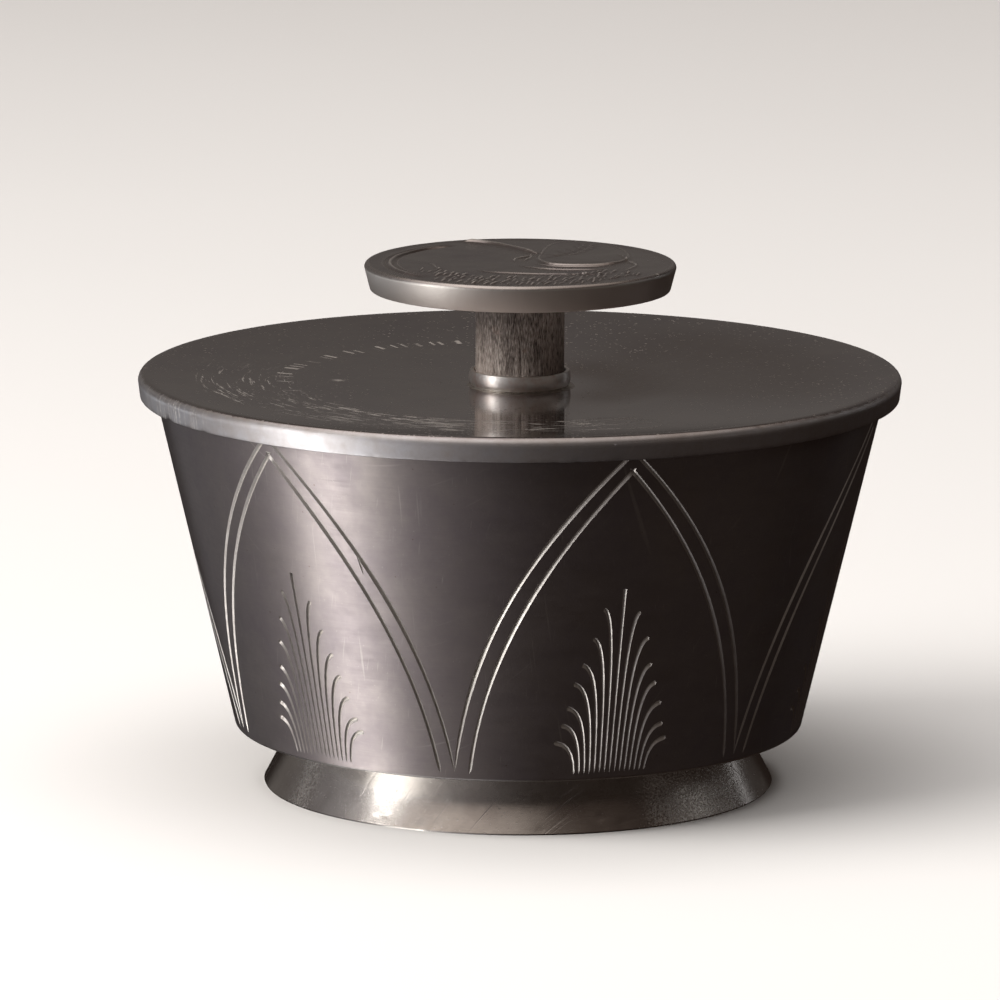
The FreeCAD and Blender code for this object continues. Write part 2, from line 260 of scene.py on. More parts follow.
def smooth_noise(seed, waves, reach):
    """A seamless wavering function of an angle in radians, about -1 to 1."""
    draw = np.random.default_rng(seed)
    turns = draw.integers(1, reach, waves)
    phases = draw.uniform(0, 2 * np.pi, waves)
    sizes = draw.uniform(0.4, 1.0, waves)
    sizes = sizes / sizes.sum()

    def waver(angle, offset=0.0):
        parts = [s * np.sin(t * angle + p + offset) for s, t, p in zip(sizes, turns, phases)]
        return sum(parts)

    return waver


# ---------------------------------------------------------------------------------------------
# Pieces
# ---------------------------------------------------------------------------------------------

def new_mesh(name, points, faces, material):
    """A smooth mesh object of one material, from points in millimetres."""
    mesh = bpy.data.meshes.new(name)
    mesh.from_pydata([tuple(np.multiply(p, MM)) for p in points], [], faces)
    mesh.validate()
    for polygon in mesh.polygons:
        polygon.use_smooth = True
    mesh.materials.append(material)
    holder = bpy.data.objects.new(name, mesh)
    bpy.context.scene.collection.objects.link(holder)
    return holder


def new_piece(name, points, faces, body, material, stands_for=(), crease=35.0):
    """Make a mesh piece, crease its sharp edges, hang it on its body, and hide the CAD nodes it
    stands for.
    """
    piece = new_mesh(name, points, faces, material)
    piece.data.set_sharp_from_angle(angle=math.radians(crease))
    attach(piece, body)
    if stands_for:
        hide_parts(*stands_for)
    return piece


def dress_node(node, material):
    """Give a CAD node that is shown as it is a material of its own."""
    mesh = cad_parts[node].data
    mesh.materials.clear()
    mesh.materials.append(material)


# ---------------------------------------------------------------------------------------------
# The engraved wall
# ---------------------------------------------------------------------------------------------

def bezier(controls, steps):
    """Points along a Bezier curve of any order through (angle, height) controls."""
    order = len(controls) - 1
    run = np.linspace(0.0, 1.0, steps + 1)[:, None]
    total = np.zeros((steps + 1, 2))
    for k, control in enumerate(controls):
        weight = math.comb(order, k) * run ** k * (1 - run) ** (order - k)
        total += weight * np.array(control, float)
    return total


class Cone:
    """The wall's outer face: a cone that leans outward as it rises."""

    def __init__(self, sizes):
        self.low = FOOT_TOP
        self.high = MOUTH
        self.bottom = sizes.bottom_radius / MM
        self.slope = (sizes.mouth_radius / MM - self.bottom) / (self.high - self.low)
        self.lean = math.atan(self.slope)
        self.flat = math.radians(1.0) * (self.bottom + sizes.mouth_radius / MM) / 2

    def radius(self, height):
        """Radius of the face at a height."""
        return self.bottom + (height - self.low) * self.slope

    def normal(self, angle):
        """Outward direction at an angle."""
        turn = math.radians(angle)
        level_part = math.cos(self.lean)
        return (math.sin(turn) * level_part, -math.cos(turn) * level_part, -math.sin(self.lean))

    def point(self, angle, height, depth=0.0):
        """Place on the face, or below it by a depth."""
        turn = math.radians(angle)
        radius = self.radius(height)
        place = np.array([radius * math.sin(turn), -radius * math.cos(turn), height])
        return tuple(place - np.array(self.normal(angle)) * depth)


class Sheet:
    """One arch's share of the wall laid flat: its points, its held edges and its grooves."""

    def __init__(self, cone):
        self.cone = cone
        self.points = []
        self.borders = []
        self.edges = []
        self.cuts = []

    def add(self, angle, height, border_of=-1):
        """Add a point by its angle and height, and say which groove's border it stands on."""
        self.points.append(Vector((angle * self.cone.flat, height)))
        self.borders.append(border_of)
        return len(self.points) - 1

    def join(self, numbers):
        """Hold the edges between points that follow each other."""
        self.edges.extend(zip(numbers, numbers[1:]))

    def engrave(self, path, half_widths, depths):
        """Cut a V groove along a path, with a half width and a depth at each of its points."""
        steps = true_steps(self.cone, path)
        steps = steps / np.linalg.norm(steps, axis=1)[:, None]
        before = np.vstack([steps[:1], steps])
        after = np.vstack([steps, steps[-1:]])
        normals = np.stack([-(before + after)[:, 1], (before + after)[:, 0]], -1)
        normals = normals / np.linalg.norm(normals, axis=1)[:, None]
        shift = normals * np.asarray(half_widths)[:, None]
        shift[:, 0] = shift[:, 0] / (np.radians(1.0) * self.cone.radius(path[:, 1]))
        number = len(self.cuts)
        start = self.add(*path[0], number)
        end = self.add(*path[-1], number)
        middle = [self.add(*p) for p in path[1:-1]]
        left = [self.add(*p, number) for p in (path + shift)[1:-1]]
        right = [self.add(*p, number) for p in (path - shift)[1:-1]]
        for side in (left, middle, right):
            self.join([start] + side + [end])
        self.cuts.append((path, np.asarray(half_widths), np.asarray(depths)))

    def clear_of_cuts(self, points, room):
        """Keep only the flat points that stand clear of every groove."""
        keep = np.ones(len(points), bool)
        for path, half_widths, _ in self.cuts:
            flat = path * np.array([self.cone.flat, 1.0])
            gaps = np.linalg.norm(points[:, None, :] - flat[None, :, :], axis=2)
            keep &= (gaps - half_widths[None, :]).min(axis=1) > room
        return points[keep]

    def depth_at(self, angles, heights, borders):
        """How deep the deepest groove lies at each place, 0 where the face is untouched."""
        scale = np.radians(1.0) * self.cone.radius(heights)
        deepest = np.zeros(len(angles))
        for number, (path, half_widths, depths) in enumerate(self.cuts):
            own = borders == number
            for k in range(len(path) - 1):
                start_x = (angles - path[k, 0]) * scale
                step_x = (path[k + 1, 0] - path[k, 0]) * scale
                start_z = heights - path[k, 1]
                step_z = path[k + 1, 1] - path[k, 1]
                size = step_x ** 2 + step_z ** 2
                run = np.clip((start_x * step_x + start_z * step_z) / size, 0.0, 1.0)
                gap = np.hypot(start_x - run * step_x, start_z - run * step_z)
                half = half_widths[k] + (half_widths[k + 1] - half_widths[k]) * run
                full = depths[k] + (depths[k + 1] - depths[k]) * run
                cut = full * (1.0 - gap / np.maximum(half, 1e-4))
                deepest = np.maximum(deepest, np.where(own, 0.0, cut))
        return np.where(deepest > 0.012, deepest, 0.0)

    def mesh(self):
        """Triangles over the sheet: places, normals where the face is untouched, and cut flags."""
        places, _, faces, sources, _, _ = delaunay_2d_cdt(self.points, self.edges, [], 0, 1e-5)
        flat = np.array([tuple(p) for p in places])
        angles = flat[:, 0] / self.cone.flat
        borders = np.array([self.borders[came[0]] if came else -1 for came in sources])
        depths = self.depth_at(angles, flat[:, 1], borders)
        points = [self.cone.point(*p) for p in zip(angles, flat[:, 1], depths)]
        normals = [self.cone.normal(a) for a in angles]
        cut = [any(depths[k] > 0.0 for k in face) for face in faces]
        return points, normals, [list(face) for face in faces], cut


def taper(run, start, end):
    """1 along a run from 0 to 1, drawn in to nothing over its start and its rounded end."""
    drawn_in = np.clip(run / max(start, 1e-6), 0.0, 1.0) ** 0.6
    past = np.clip((run - (1.0 - end)) / max(end, 1e-6), 0.0, 1.0)
    return drawn_in * np.sqrt(np.clip(1.0 - past ** 2, 0.0, 1.0))


def true_steps(cone, path):
    """Steps along a path of angles and heights, round the wall and up it, in millimetres."""
    scale = np.radians(1.0) * cone.radius((path[1:, 1] + path[:-1, 1]) / 2)
    return np.stack([np.diff(path[:, 0]) * scale, np.diff(path[:, 1])], -1)


def path_length(cone, path):
    """Length of a path on the wall, in millimetres."""
    return float(np.linalg.norm(true_steps(cone, path), axis=1).sum())


def engrave_arch(sheet, sizes, centre, share, draw):
    """The two pointed lines of one arch. The outer one meets its neighbours in a V below."""
    half = sizes.line_width / MM / 2
    depth = sizes.line_depth / MM
    outer = bezier([(share, FOOT_TOP + 1.7), (share - 5.0, 48.0), (0.0, MOUTH - 1.7)], 64)
    inner = bezier([(share - 2.9, FOOT_TOP + 1.5), (share - 7.5, 44.0), (0.0, MOUTH - 5.5)], 60)
    for line, draw_in, over in ((outer, 0.09, 0.4), (inner, 0.02, 0.7)):
        last = line[-1] - line[-2]
        line = np.vstack([line, line[-1] + last / last[1] * over])
        for side in (-1.0, 1.0):
            arm = line * np.array([side, 1.0]) + np.array([centre, 0.0])
            run = np.linspace(0.0, 1.0, len(arm))
            lively = 1.0 + 0.10 * np.sin(run * draw.uniform(7, 12) + draw.uniform(0, 6))
            low_thin = 0.76 + 0.24 * np.clip((arm[:, 1] - FOOT_TOP) / 25.0, 0.0, 1.0)
            shape = lively * taper(run, draw_in, 0.02) * low_thin
            sheet.engrave(arm, half * shape, depth * shape)


def slip_of_the_graver(sheet, centre):
    """A short stray cut between the two lines of an arch."""
    path = bezier([(centre + 15.7, 52.6), (centre + 15.4, 54.5), (centre + 14.7, 57.0)], 8)
    run = np.linspace(0.0, 1.0, len(path))
    shape = np.sin(np.pi * run) ** 0.6
    sheet.engrave(path, 0.20 * shape, 0.12 * shape)


def engrave_spray(sheet, sizes, centre, draw):
    """The plume of strokes that stands inside an arch, its tips curling outward."""
    cone = sheet.cone
    count = sizes.strokes
    low = FOOT_TOP + 1.5
    lean = draw.uniform(-0.25, 0.25)
    for number in range(-count, count + 1):
        place = abs(number)
        side = -1.0 if number < 0 else 1.0
        share = place / count
        base = 1.03 * place
        tip = 11.2 * share ** 0.62
        rise = 37.9 - 5.9 * place + 0.2 * place ** 2
        if number < 0:
            rise += 1.6 * (1.0 - place / (count - 1.0)) if place < count else 0.0
        rise += draw.uniform(-0.5, 0.5)
        tip += draw.uniform(-0.25, 0.25) if place else 0.0
        bend = tip - base
        curl = 0.10 + 0.02 * place
        controls = [(side * base, low), (side * (base + 0.05 * bend), low + 0.5 * rise),
                    (side * (base + curl * bend), low + 0.98 * rise), (side * tip, low + rise)]
        path = bezier(controls, 34)
        path[:, 0] += centre + lean + 0.5
        run = np.linspace(0.0, 1.0, len(path))
        full = (sizes.stroke_width / MM + 0.04 * place) / 2
        thin = 0.18 + 0.004 * place
        widths = thin + (full - thin) * run ** 1.5
        end = min(0.3, full * 1.3 / path_length(cone, path))
        shape = taper(run, 0.04, end)
        deep = 0.13 + (sizes.stroke_depth / MM - 0.13) * run ** 1.2
        sheet.engrave(path, widths * shape, deep * np.maximum(shape, 0.3))


def engraved_face(sizes):
    """The whole outer face of the wall, arch by arch, with its grooves cut in."""
    cone = Cone(sizes)
    draw = np.random.default_rng(41)
    share = 180.0 / sizes.arches
    low = cone.low + corner_reach(sizes)[1]
    high = cone.high - sizes.lip / MM
    steps = 48
    rungs = np.linspace(low, high, 33)
    sheets = []
    for number in range(sizes.arches):
        centre = math.degrees(sizes.first_arch) + 2 * share * number
        sheet = Sheet(cone)
        across = np.linspace(centre - share, centre + share, steps + 1)
        bottom = [sheet.add(a, low) for a in across]
        top = [sheet.add(a, high) for a in across]
        left = [bottom[0]] + [sheet.add(across[0], z) for z in rungs[1:-1]] + [top[0]]
        right = [bottom[-1]] + [sheet.add(across[-1], z) for z in rungs[1:-1]] + [top[-1]]
        for side in (bottom, top, left, right):
            sheet.join(side)
        engrave_arch(sheet, sizes, centre, share, draw)
        engrave_spray(sheet, sizes, centre, draw)
        if number == sizes.arches - 1:
            slip_of_the_graver(sheet, centre)
        grid = []
        for row, height in enumerate(rungs[1:-1]):
            offset = 0.5 * (row % 2)
            for k in range(1, steps):
                angle = across[0] + (k + offset - 0.25) * 2 * share / steps
                grid.append((angle * cone.flat, height + (0.0 if k % 2 else 0.6)))
        for x, y in sheet.clear_of_cuts(np.array(grid), 0.45):
            sheet.add(x / cone.flat, y)
        sheets.append(sheet.mesh())
    return sheets, low, high, steps


def corner_reach(sizes):
    """Where the wall's bottom rounding leaves the underside and where it meets the face."""
    lean = math.atan(Cone(sizes).slope)
    reach = (sizes.corner / MM) / math.tan((math.pi / 2 + lean) / 2)
    return reach, reach * math.cos(lean)


def wall_rest(sizes, low, high, segments):
    """Everything of the wall but its outer face: lip, inside, underside and bottom corner."""
    cone = Cone(sizes)
    sheet = sizes.sheet / MM
    lip = sizes.lip / MM
    bend = 6
    outline = rounded([
        (cone.radius(cone.low), cone.low, sizes.corner / MM),
        (cone.radius(cone.high), cone.high, lip),
        (cone.radius(cone.high) - sheet, cone.high, lip),
        (cone.radius(cone.low) - sheet, cone.low, 0.0)], bend)
    corner = outline[:bend + 1]
    mouth = outline[bend + 1:-1]
    inner_low = outline[-1]
    inside = between(mouth[-1], inner_low, 14)[1:]
    start = (cone.radius(low), low)
    end = (cone.radius(high), high)
    path = [end] + [p for p in mouth if p[1] > high + 1e-4] + inside + [inner_low]
    path += [p for p in corner if p[1] < low - 1e-4] + [start]
    first = math.degrees(sizes.first_arch) - 180.0 / sizes.arches
    return lathe(path, segments, closed=False, first=first)


def weld(points, reach):
    """For each point, the number of the first point that stands at the same place."""
    tree = KDTree(len(points))
    for number, point in enumerate(points):
        tree.insert(point, number)
    tree.balance()
    return [min(found[1] for found in tree.find_range(point, reach)) for point in points]


def build_wall(sizes, material, cut_material):
    """Join the engraved face to the rest of the wall, with exact normals between the cuts."""
    sheets, low, high, steps = engraved_face(sizes)
    rest, rest_faces = wall_rest(sizes, low, high, steps * sizes.arches)
    sheets.append((rest, None, rest_faces, [False] * len(rest_faces)))
    points = [point for sheet in sheets for point in sheet[0]]
    first = weld(points, 0.002)
    kept = sorted(set(first))
    numbers = {old: new for new, old in enumerate(kept)}
    faces = []
    face_normals = []
    flags = []
    seen = set()
    start = 0
    for places, normals, polygons, cut in sheets:
        for polygon, is_cut in zip(polygons, cut):
            face = [numbers[first[start + k]] for k in polygon]
            corners = frozenset(face)
            if len(corners) < 3 or corners in seen:
                continue
            seen.add(corners)
            exact = normals is not None and not is_cut
            faces.append(face)
            flags.append(is_cut)
            face_normals.append([normals[k] if exact else (0.0, 0.0, 0.0) for k in polygon])
        start += len(places)
    piece = new_piece("bowl_wall_engraved", [points[k] for k in kept], faces, "bowl",
                      material, ("bowl_wall",))
    finish_wall(piece.data, cut_material, flags, face_normals)
    return piece


def finish_wall(mesh, cut_material, flags, face_normals):
    """Crease the grooves' three edges, give them the cut metal and set the face's normals."""
    mesh.materials.append(cut_material)
    beside = {}
    for polygon, is_cut in zip(mesh.polygons, flags):
        polygon.material_index = 1 if is_cut else 0
        for key in polygon.edge_keys:
            beside.setdefault(key, []).append(is_cut)
    cut_points = set()
    face_points = set()
    for polygon, is_cut in zip(mesh.polygons, flags):
        (cut_points if is_cut else face_points).update(polygon.vertices)
    deep = cut_points - face_points
    for edge in mesh.edges:
        sides = beside[tuple(sorted(edge.vertices))]
        border = len(set(sides)) == 2
        along = all(v in deep for v in edge.vertices)
        edge.use_edge_sharp = edge.use_edge_sharp or border or along
    mesh.normals_split_custom_set([normal for face in face_normals for normal in face])


# ---------------------------------------------------------------------------------------------
# The foot
# ---------------------------------------------------------------------------------------------

def foot_outline(sizes):
    """The foot ring's section: a slanting sheet whose outer face is slightly hollow."""
    low = sizes.foot_radius / MM
    neck = sizes.foot_neck / MM
    sheet = sizes.foot_sheet / MM
    edge = sizes.foot_edge / MM
    face = []
    for height in np.linspace(edge, FOOT_TOP, 25):
        share = height / FOOT_TOP
        hollow = sizes.foot_hollow / MM * math.sin(math.pi * share)
        face.append((low + (neck - low) * share - hollow, float(height)))
    inside = between((neck - sheet, FOOT_TOP), (low - sheet, 0.0), 10)
    return [(low - sheet, 0.0), (low - edge, 0.0)] + face + inside


def foot_wear(sizes):
    """Slow waves round the foot ring, and the knocks it has had."""
    draw = np.random.default_rng(17)
    rolling = smooth_noise(61, 7, 13)
    ripple = smooth_noise(62, 9, 46)
    knocks = [(draw.uniform(-180, 180), draw.uniform(0.0, 3.0), draw.uniform(0.02, 0.06),
               draw.uniform(0.5, 1.6)) for _ in range(34)]
    knocks += [(-58.0, 2.0, 0.07, 1.2), (-50.0, 3.5, 0.05, 0.9), (46.0, 5.0, 0.06, 1.8)]
    neck = sizes.foot_neck / MM
    low = sizes.foot_radius / MM

    def wobble(turns, radii, heights):
        outer = radii > low + (neck - low) * heights / FOOT_TOP - 0.5
        out = 0.030 * rolling(turns, heights * 0.05) + 0.006 * ripple(turns, heights * 0.3)
        for angle, height, depth, width in knocks:
            away = (turns - math.radians(angle) + np.pi) % (2 * np.pi) - np.pi
            gap = (away * low / width) ** 2 + ((heights - height) / (0.8 * width)) ** 2
            out = out - depth * np.exp(-gap)
        fixed = np.clip((FOOT_TOP - heights) / 0.8, 0.0, 1.0)
        return out * outer * fixed, np.zeros_like(heights)

    return wobble


# ---------------------------------------------------------------------------------------------
# The lid
# ---------------------------------------------------------------------------------------------

def dish(inner, outer, count):
    """Points inward along a dished arc that is level where it reaches the flat middle."""
    run = outer[0] - inner[0]
    rise = outer[1] - inner[1]
    radius = (run ** 2 + rise ** 2) / (2 * rise)
    spread = np.linspace(run, 0.0, count)
    return [(inner[0] + s, inner[1] + radius - math.sqrt(radius ** 2 - s ** 2)) for s in spread]


def lid_outline(sizes):
    """The lid's section, from the stud hole under the lid out to its skirt and back on top."""
    radius = sizes.radius / MM
    taper_in = sizes.taper / MM
    skirt = sizes.skirt / MM
    rounding = sizes.rounding / MM
    flat = sizes.flat / MM
    seat = sizes.seat / MM
    hole = sizes.hole / MM
    under = LID_MIDDLE - sizes.sheet / MM
    edge = 0.25
    below = dish((flat, under), (seat, MOUTH), 24)[::-1]
    skirt_part = rounded([
        (seat, MOUTH, 0.0),
        (radius - skirt, MOUTH, 0.0),
        (radius - skirt - taper_in, SKIRT_END, edge),
        (radius - taper_in, SKIRT_END, edge),
        (radius, LID_BRINK - rounding, 0.0)], 4, closed=False)[1:]
    wall = between(skirt_part[-2], skirt_part[-1], 6)[1:]
    curl = arc((radius - rounding, LID_BRINK - rounding), rounding, 0.0, 90.0, 9)
    above = dish((flat, LID_MIDDLE), (radius - rounding, LID_BRINK), 72)[1:]
    top = between((flat, LID_MIDDLE), (hole, LID_MIDDLE), 6)[1:] + [(hole, LID_MIDDLE)]
    bottom = between((hole, under), (flat, under), 5)
    return bottom + below + skirt_part[:-1] + wall + curl + above + top


def lid_wear(sizes):
    """Small dents in the skirt, knocks on its edges, and the slight waves of a hand-made lid."""
    draw = np.random.default_rng(7)
    radius = sizes.radius / MM
    rolling = smooth_noise(11, 6, 9)
    uneven = smooth_noise(12, 9, 40)
    spots = [(-65.0, SKIRT_END, 0.22, 1.3), (-54.0, SKIRT_END, 0.10, 0.7)]
    for _ in range(26):
        at_edge = draw.uniform() < 0.5
        height = SKIRT_END if at_edge else LID_BRINK - draw.uniform(0.0, 1.2)
        spots.append((draw.uniform(-180, 180), height, draw.uniform(0.03, 0.10),
                      draw.uniform(0.35, 0.9)))

    def wobble(turns, radii, heights):
        rim = np.clip((radii - radius + 6.0) / 6.0, 0.0, 1.0) ** 2
        up = 0.05 * rolling(turns) * rim
        low_edge = np.exp(-((heights - SKIRT_END) / 0.5) ** 2) * (radii > radius - 3.0)
        up = up + 0.035 * uneven(turns) * low_edge
        out = 0.02 * uneven(turns, 2.0) * rim
        for angle, height, depth, width in spots:
            away = (turns - math.radians(angle) + np.pi) % (2 * np.pi) - np.pi
            gap = (away * radius / width) ** 2 + ((heights - height) / 0.6) ** 2
            dent = depth * np.exp(-gap) * (radii > radius - 1.2)
            out = out - dent
            up = up + dent * (0.8 if height == SKIRT_END else -0.3)
        return out, up

    return wobble


# ---------------------------------------------------------------------------------------------
# The knob
# ---------------------------------------------------------------------------------------------

def path_gap(x, y, path):
    """How far each place lies from a path, how far along it that is, and on which side."""
    best = np.full(x.shape, 1e9)
    along = np.zeros(x.shape)
    side = np.zeros(x.shape)
    path = np.asarray(path, float)
    count = len(path) - 1
    for k in range(count):
        start = path[k]
        step = path[k + 1] - start
        size = step @ step
        t = np.clip(((x - start[0]) * step[0] + (y - start[1]) * step[1]) / size, 0.0, 1.0)
        across = x - start[0] - t * step[0]
        up = y - start[1] - t * step[1]
        gap = np.hypot(across, up)
        near = gap < best
        best = np.where(near, gap, best)
        along = np.where(near, (k + t) / count, along)
        side = np.where(near, np.sign(step[0] * up - step[1] * across), side)
    return best, along, side


def raised_line(x, y, path, height, width, ends=0.15):
    """A rounded bead along a path, drawn out at both ends."""
    gap, along, _ = path_gap(x, y, path)
    size = np.clip(np.minimum(along, 1.0 - along) / ends, 0.0, 1.0) ** 0.5
    return height * size * np.exp(-(gap / (width * (0.35 + 0.65 * size))) ** 2)


def closed_form(x, y, path, height, edge):
    """A raised smooth form with a crowned top inside a closed path."""
    gap, _, _ = path_gap(x, y, path)
    inside = np.zeros(x.shape, bool)
    ring = np.asarray(path, float)
    for (x0, y0), (x1, y1) in zip(ring, ring[1:]):
        crossing = (y0 > y) != (y1 > y)
        rise = np.where(y1 == y0, 1e-9, y1 - y0)
        inside ^= crossing & (x < (x1 - x0) * (y - y0) / rise + x0)
    depth = np.where(inside, gap, 0.0)
    return height * (1.0 - np.exp(-depth / edge))


def disc_relief(x, y):
    """Cast relief over the disc's ground: a broad leaf on a curved stalk over small leaves."""
    radius = np.hypot(x, y)
    angle = np.degrees(np.arctan2(x, -y))
    total = np.zeros(x.shape)
    span = np.clip(np.minimum(angle + 150.0, -42.0 - angle) / 12.0, 0.0, 1.0)
    for ring, sign in ((26.5, -0.34), (25.6, 0.20), (24.7, -0.38)):
        total += sign * span * np.exp(-((radius - ring) / 0.36) ** 2)
    stalk = bezier([(-14.5, 27.0), (-7.0, 28.0), (-2.0, 19.0), (3.5, 11.0)], 24)
    total += raised_line(x, y, stalk, 0.60, 0.75, 0.12)
    leaf = np.vstack([
        bezier([(4.0, 9.0), (5.0, 20.0), (6.0, 27.0), (14.0, 26.0)], 20),
        bezier([(14.0, 26.0), (18.5, 22.0), (22.5, 12.0), (21.0, 4.0)], 16)[1:],
        bezier([(21.0, 4.0), (19.0, -4.0), (9.0, -6.0), (5.0, -1.0)], 16)[1:],
        bezier([(5.0, -1.0), (3.0, 2.0), (3.5, 6.0), (4.0, 9.0)], 8)[1:]])
    total += closed_form(x, y, leaf, 0.50, 0.75)
    total += raised_line(x, y, leaf, 0.38, 0.42, 0.02)
    rib = bezier([(4.5, 3.0), (10.0, 8.0), (13.0, 15.0), (13.5, 23.0)], 20)
    total -= raised_line(x, y, rib, 0.26, 0.60, 0.2)
    for k in range(5):
        root = rib[4 + 3 * k]
        for side in (-1.0, 1.0):
            tip = root + np.array([side * (3.6 - 0.35 * k) + 1.0, 2.6 + 0.3 * k])
            vein = bezier([root, root + np.array([side * 1.6, 0.4]), tip], 8)
            total -= raised_line(x, y, vein, 0.16, 0.45, 0.3)
    curves = [
        bezier([(2.5, 9.0), (0.5, 6.0), (-2.0, 4.5), (-1.0, 1.0)], 12),
        bezier([(2.0, 10.0), (2.5, 6.0), (1.5, 4.0), (0.5, 1.5)], 10),
        bezier([(3.0, -1.5), (6.0, -5.5), (12.0, -6.0), (18.0, -3.0)], 14),
        bezier([(-0.5, -4.0), (4.0, -9.0), (11.0, -9.5), (17.0, -8.0)], 14),
        bezier([(-8.5, -10.0), (-5.0, -14.0), (8.0, -15.0), (17.0, -14.0)], 16),
        bezier([(21.0, 0.5), (24.0, -1.0), (22.5, -6.0), (20.0, -10.0)], 12),
        bezier([(19.0, 8.0), (21.5, 4.0), (21.0, 1.0), (23.0, -4.0)], 12),
        bezier([(-18.0, -1.0), (-16.0, -4.0), (-17.5, -6.0), (-15.0, -10.0)], 10)]
    for k, curve in enumerate(curves):
        total += raised_line(x, y, curve, 0.32 - 0.015 * k, 0.36, 0.25)
    total += small_leaves(x, y)
    total += 0.035 * np.sin(x * 0.55 + 1.3 * np.sin(y * 0.4)) * np.sin(y * 0.5 + 0.7)
    fade = np.clip((29.0 - radius) / 0.8, 0.0, 1.0)
    return np.clip(total, -0.30, FULL_RELIEF) * fade


def small_leaves(x, y):
    """A bank of short slanted leaves along the near edge, in four loose rows."""
    draw = np.random.default_rng(23)
    total = np.zeros(x.shape)
    for row, radius in enumerate((18.8, 21.4, 24.0, 26.2)):
        count = 25 + 4 * row
        for k in range(count):
            angle = math.radians(-66.0 + 126.0 * k / (count - 1) + draw.uniform(-1.6, 1.6))
            middle = radius + draw.uniform(-0.7, 0.7)
            base = np.array([middle * math.sin(angle), -middle * math.cos(angle)])
            if base[1] > -8.5 or (base[0] < -16.5 and middle > 22.5):
                continue
            tilt = draw.uniform(0.10, 0.45)
            reach = draw.uniform(1.4, 2.4)
            along = np.array([math.sin(tilt), math.cos(tilt)]) * reach
            leaf = bezier([base - along, base + np.array([0.35, -0.1]), base + along], 4)
            near = (abs(x - base[0]) < 3.0) & (abs(y - base[1]) < 3.6)
            bead = raised_line(x[near], y[near], leaf, draw.uniform(0.20, 0.38), 0.38, 0.4)
            total[near] = np.maximum(total[near], bead)
    return total


def disc_grid(radius, steps):
    """A square grid drawn onto a disc, row by row, so that no face shrinks to a sliver."""
    run = np.linspace(-1.0, 1.0, steps + 1)
    u, v = np.meshgrid(run, run)
    x = u * np.sqrt(1.0 - v ** 2 / 2.0)
    y = v * np.sqrt(1.0 - u ** 2 / 2.0)
    return x * radius, y * radius


def rim_numbers(steps):
    """Numbers of a square grid's outer points, in order round it."""
    width = steps + 1
    bottom = list(range(steps))
    right = [k * width + steps for k in range(steps)]
    top = [steps * width + steps - k for k in range(steps)]
    left = [(steps - k) * width for k in range(steps)]
    return bottom + right + top + left


def build_disc(sizes, material):
    """The disc: a relief on top, a leaning side, and a blind hole for the stud below."""
    steps = 250
    over = sizes.disc_over / MM
    under = sizes.disc_under / MM
    edge = sizes.disc_edge / MM
    low_edge = sizes.disc_low_edge / MM
    flat = over - edge - 0.15
    x, y = disc_grid(flat, steps)
    inward = np.clip((flat - np.hypot(x, y)) / 1.5, 0.0, 1.0)
    sunk = sizes.ground / MM * inward ** 2 * (3.0 - 2.0 * inward)
    raised = disc_relief(x, y) * (sizes.relief / MM / FULL_RELIEF)
    top = DISC_TOP - 0.02 - sunk + raised
    points = list(zip(x.ravel(), y.ravel(), top.ravel()))
    width = steps + 1
    faces = []
    for row in range(steps):
        for k in range(steps):
            corner = row * width + k
            faces.append([corner, corner + 1, corner + width + 1, corner + width])
    rim = rim_numbers(steps)
    uneven = smooth_noise(31, 7, 24)
    side = rounded([
        (over, DISC_TOP, edge),
        (under, DISC_UNDER, low_edge),
        (sizes.stud / MM, DISC_UNDER, 0.0)], 7, closed=False)
    side = arc((over - edge, DISC_TOP - edge), edge, 84.0, -8.0, 9) + side[1:]
    hole_top = DISC_UNDER + sizes.socket / MM
    side += between(side.pop(), (sizes.stud / MM, hole_top), 3) + [(sizes.stud / MM, hole_top)]
    spokes = [math.atan2(points[k][0], -points[k][1]) for k in rim]
    last = rim
    for radius, height in side:
        ring = []
        for turn in spokes:
            out = radius + (0.03 * uneven(turn) if radius > under - 1.0 else 0.0)
            ring.append(len(points))
            points.append((out * math.sin(turn), -out * math.cos(turn), height))
        for k in range(len(rim)):
            after = (k + 1) % len(rim)
            faces.append([last[k], ring[k], ring[after], last[after]])
        last = ring
    middle = len(points)
    points.append((0.0, 0.0, hole_top))
    for k in range(len(rim)):
        faces.append([last[k], middle, last[(k + 1) % len(rim)]])
    return new_piece("knob_disc_relief", points, faces, "lid", material,
                     ("knob_disc",), crease=50.0)


def collar_outline(sizes):
    """The collar's section: a short wall that swells a little and turns in at the lid."""
    outer = sizes.collar / MM
    inner = outer - sizes.collar_sheet / MM
    barrel = sizes.collar_barrel / MM
    tall = COLLAR_TOP - LID_MIDDLE
    wall = []
    for share in np.linspace(0.24, 0.90, 12):
        swell = barrel * ((share - 0.52) / 0.48) ** 2
        wall.append((outer - swell, LID_MIDDLE + tall * float(share), 0.0))
    corners = [(inner, LID_MIDDLE, 0.0), (outer - 0.75, LID_MIDDLE, 0.0),
               (outer - 0.28, LID_MIDDLE + 0.12 * tall, 0.2)]
    corners += wall + [(outer - 0.24, COLLAR_TOP, 0.16), (inner, COLLAR_TOP, 0.2)]
    return rounded(corners, 4)


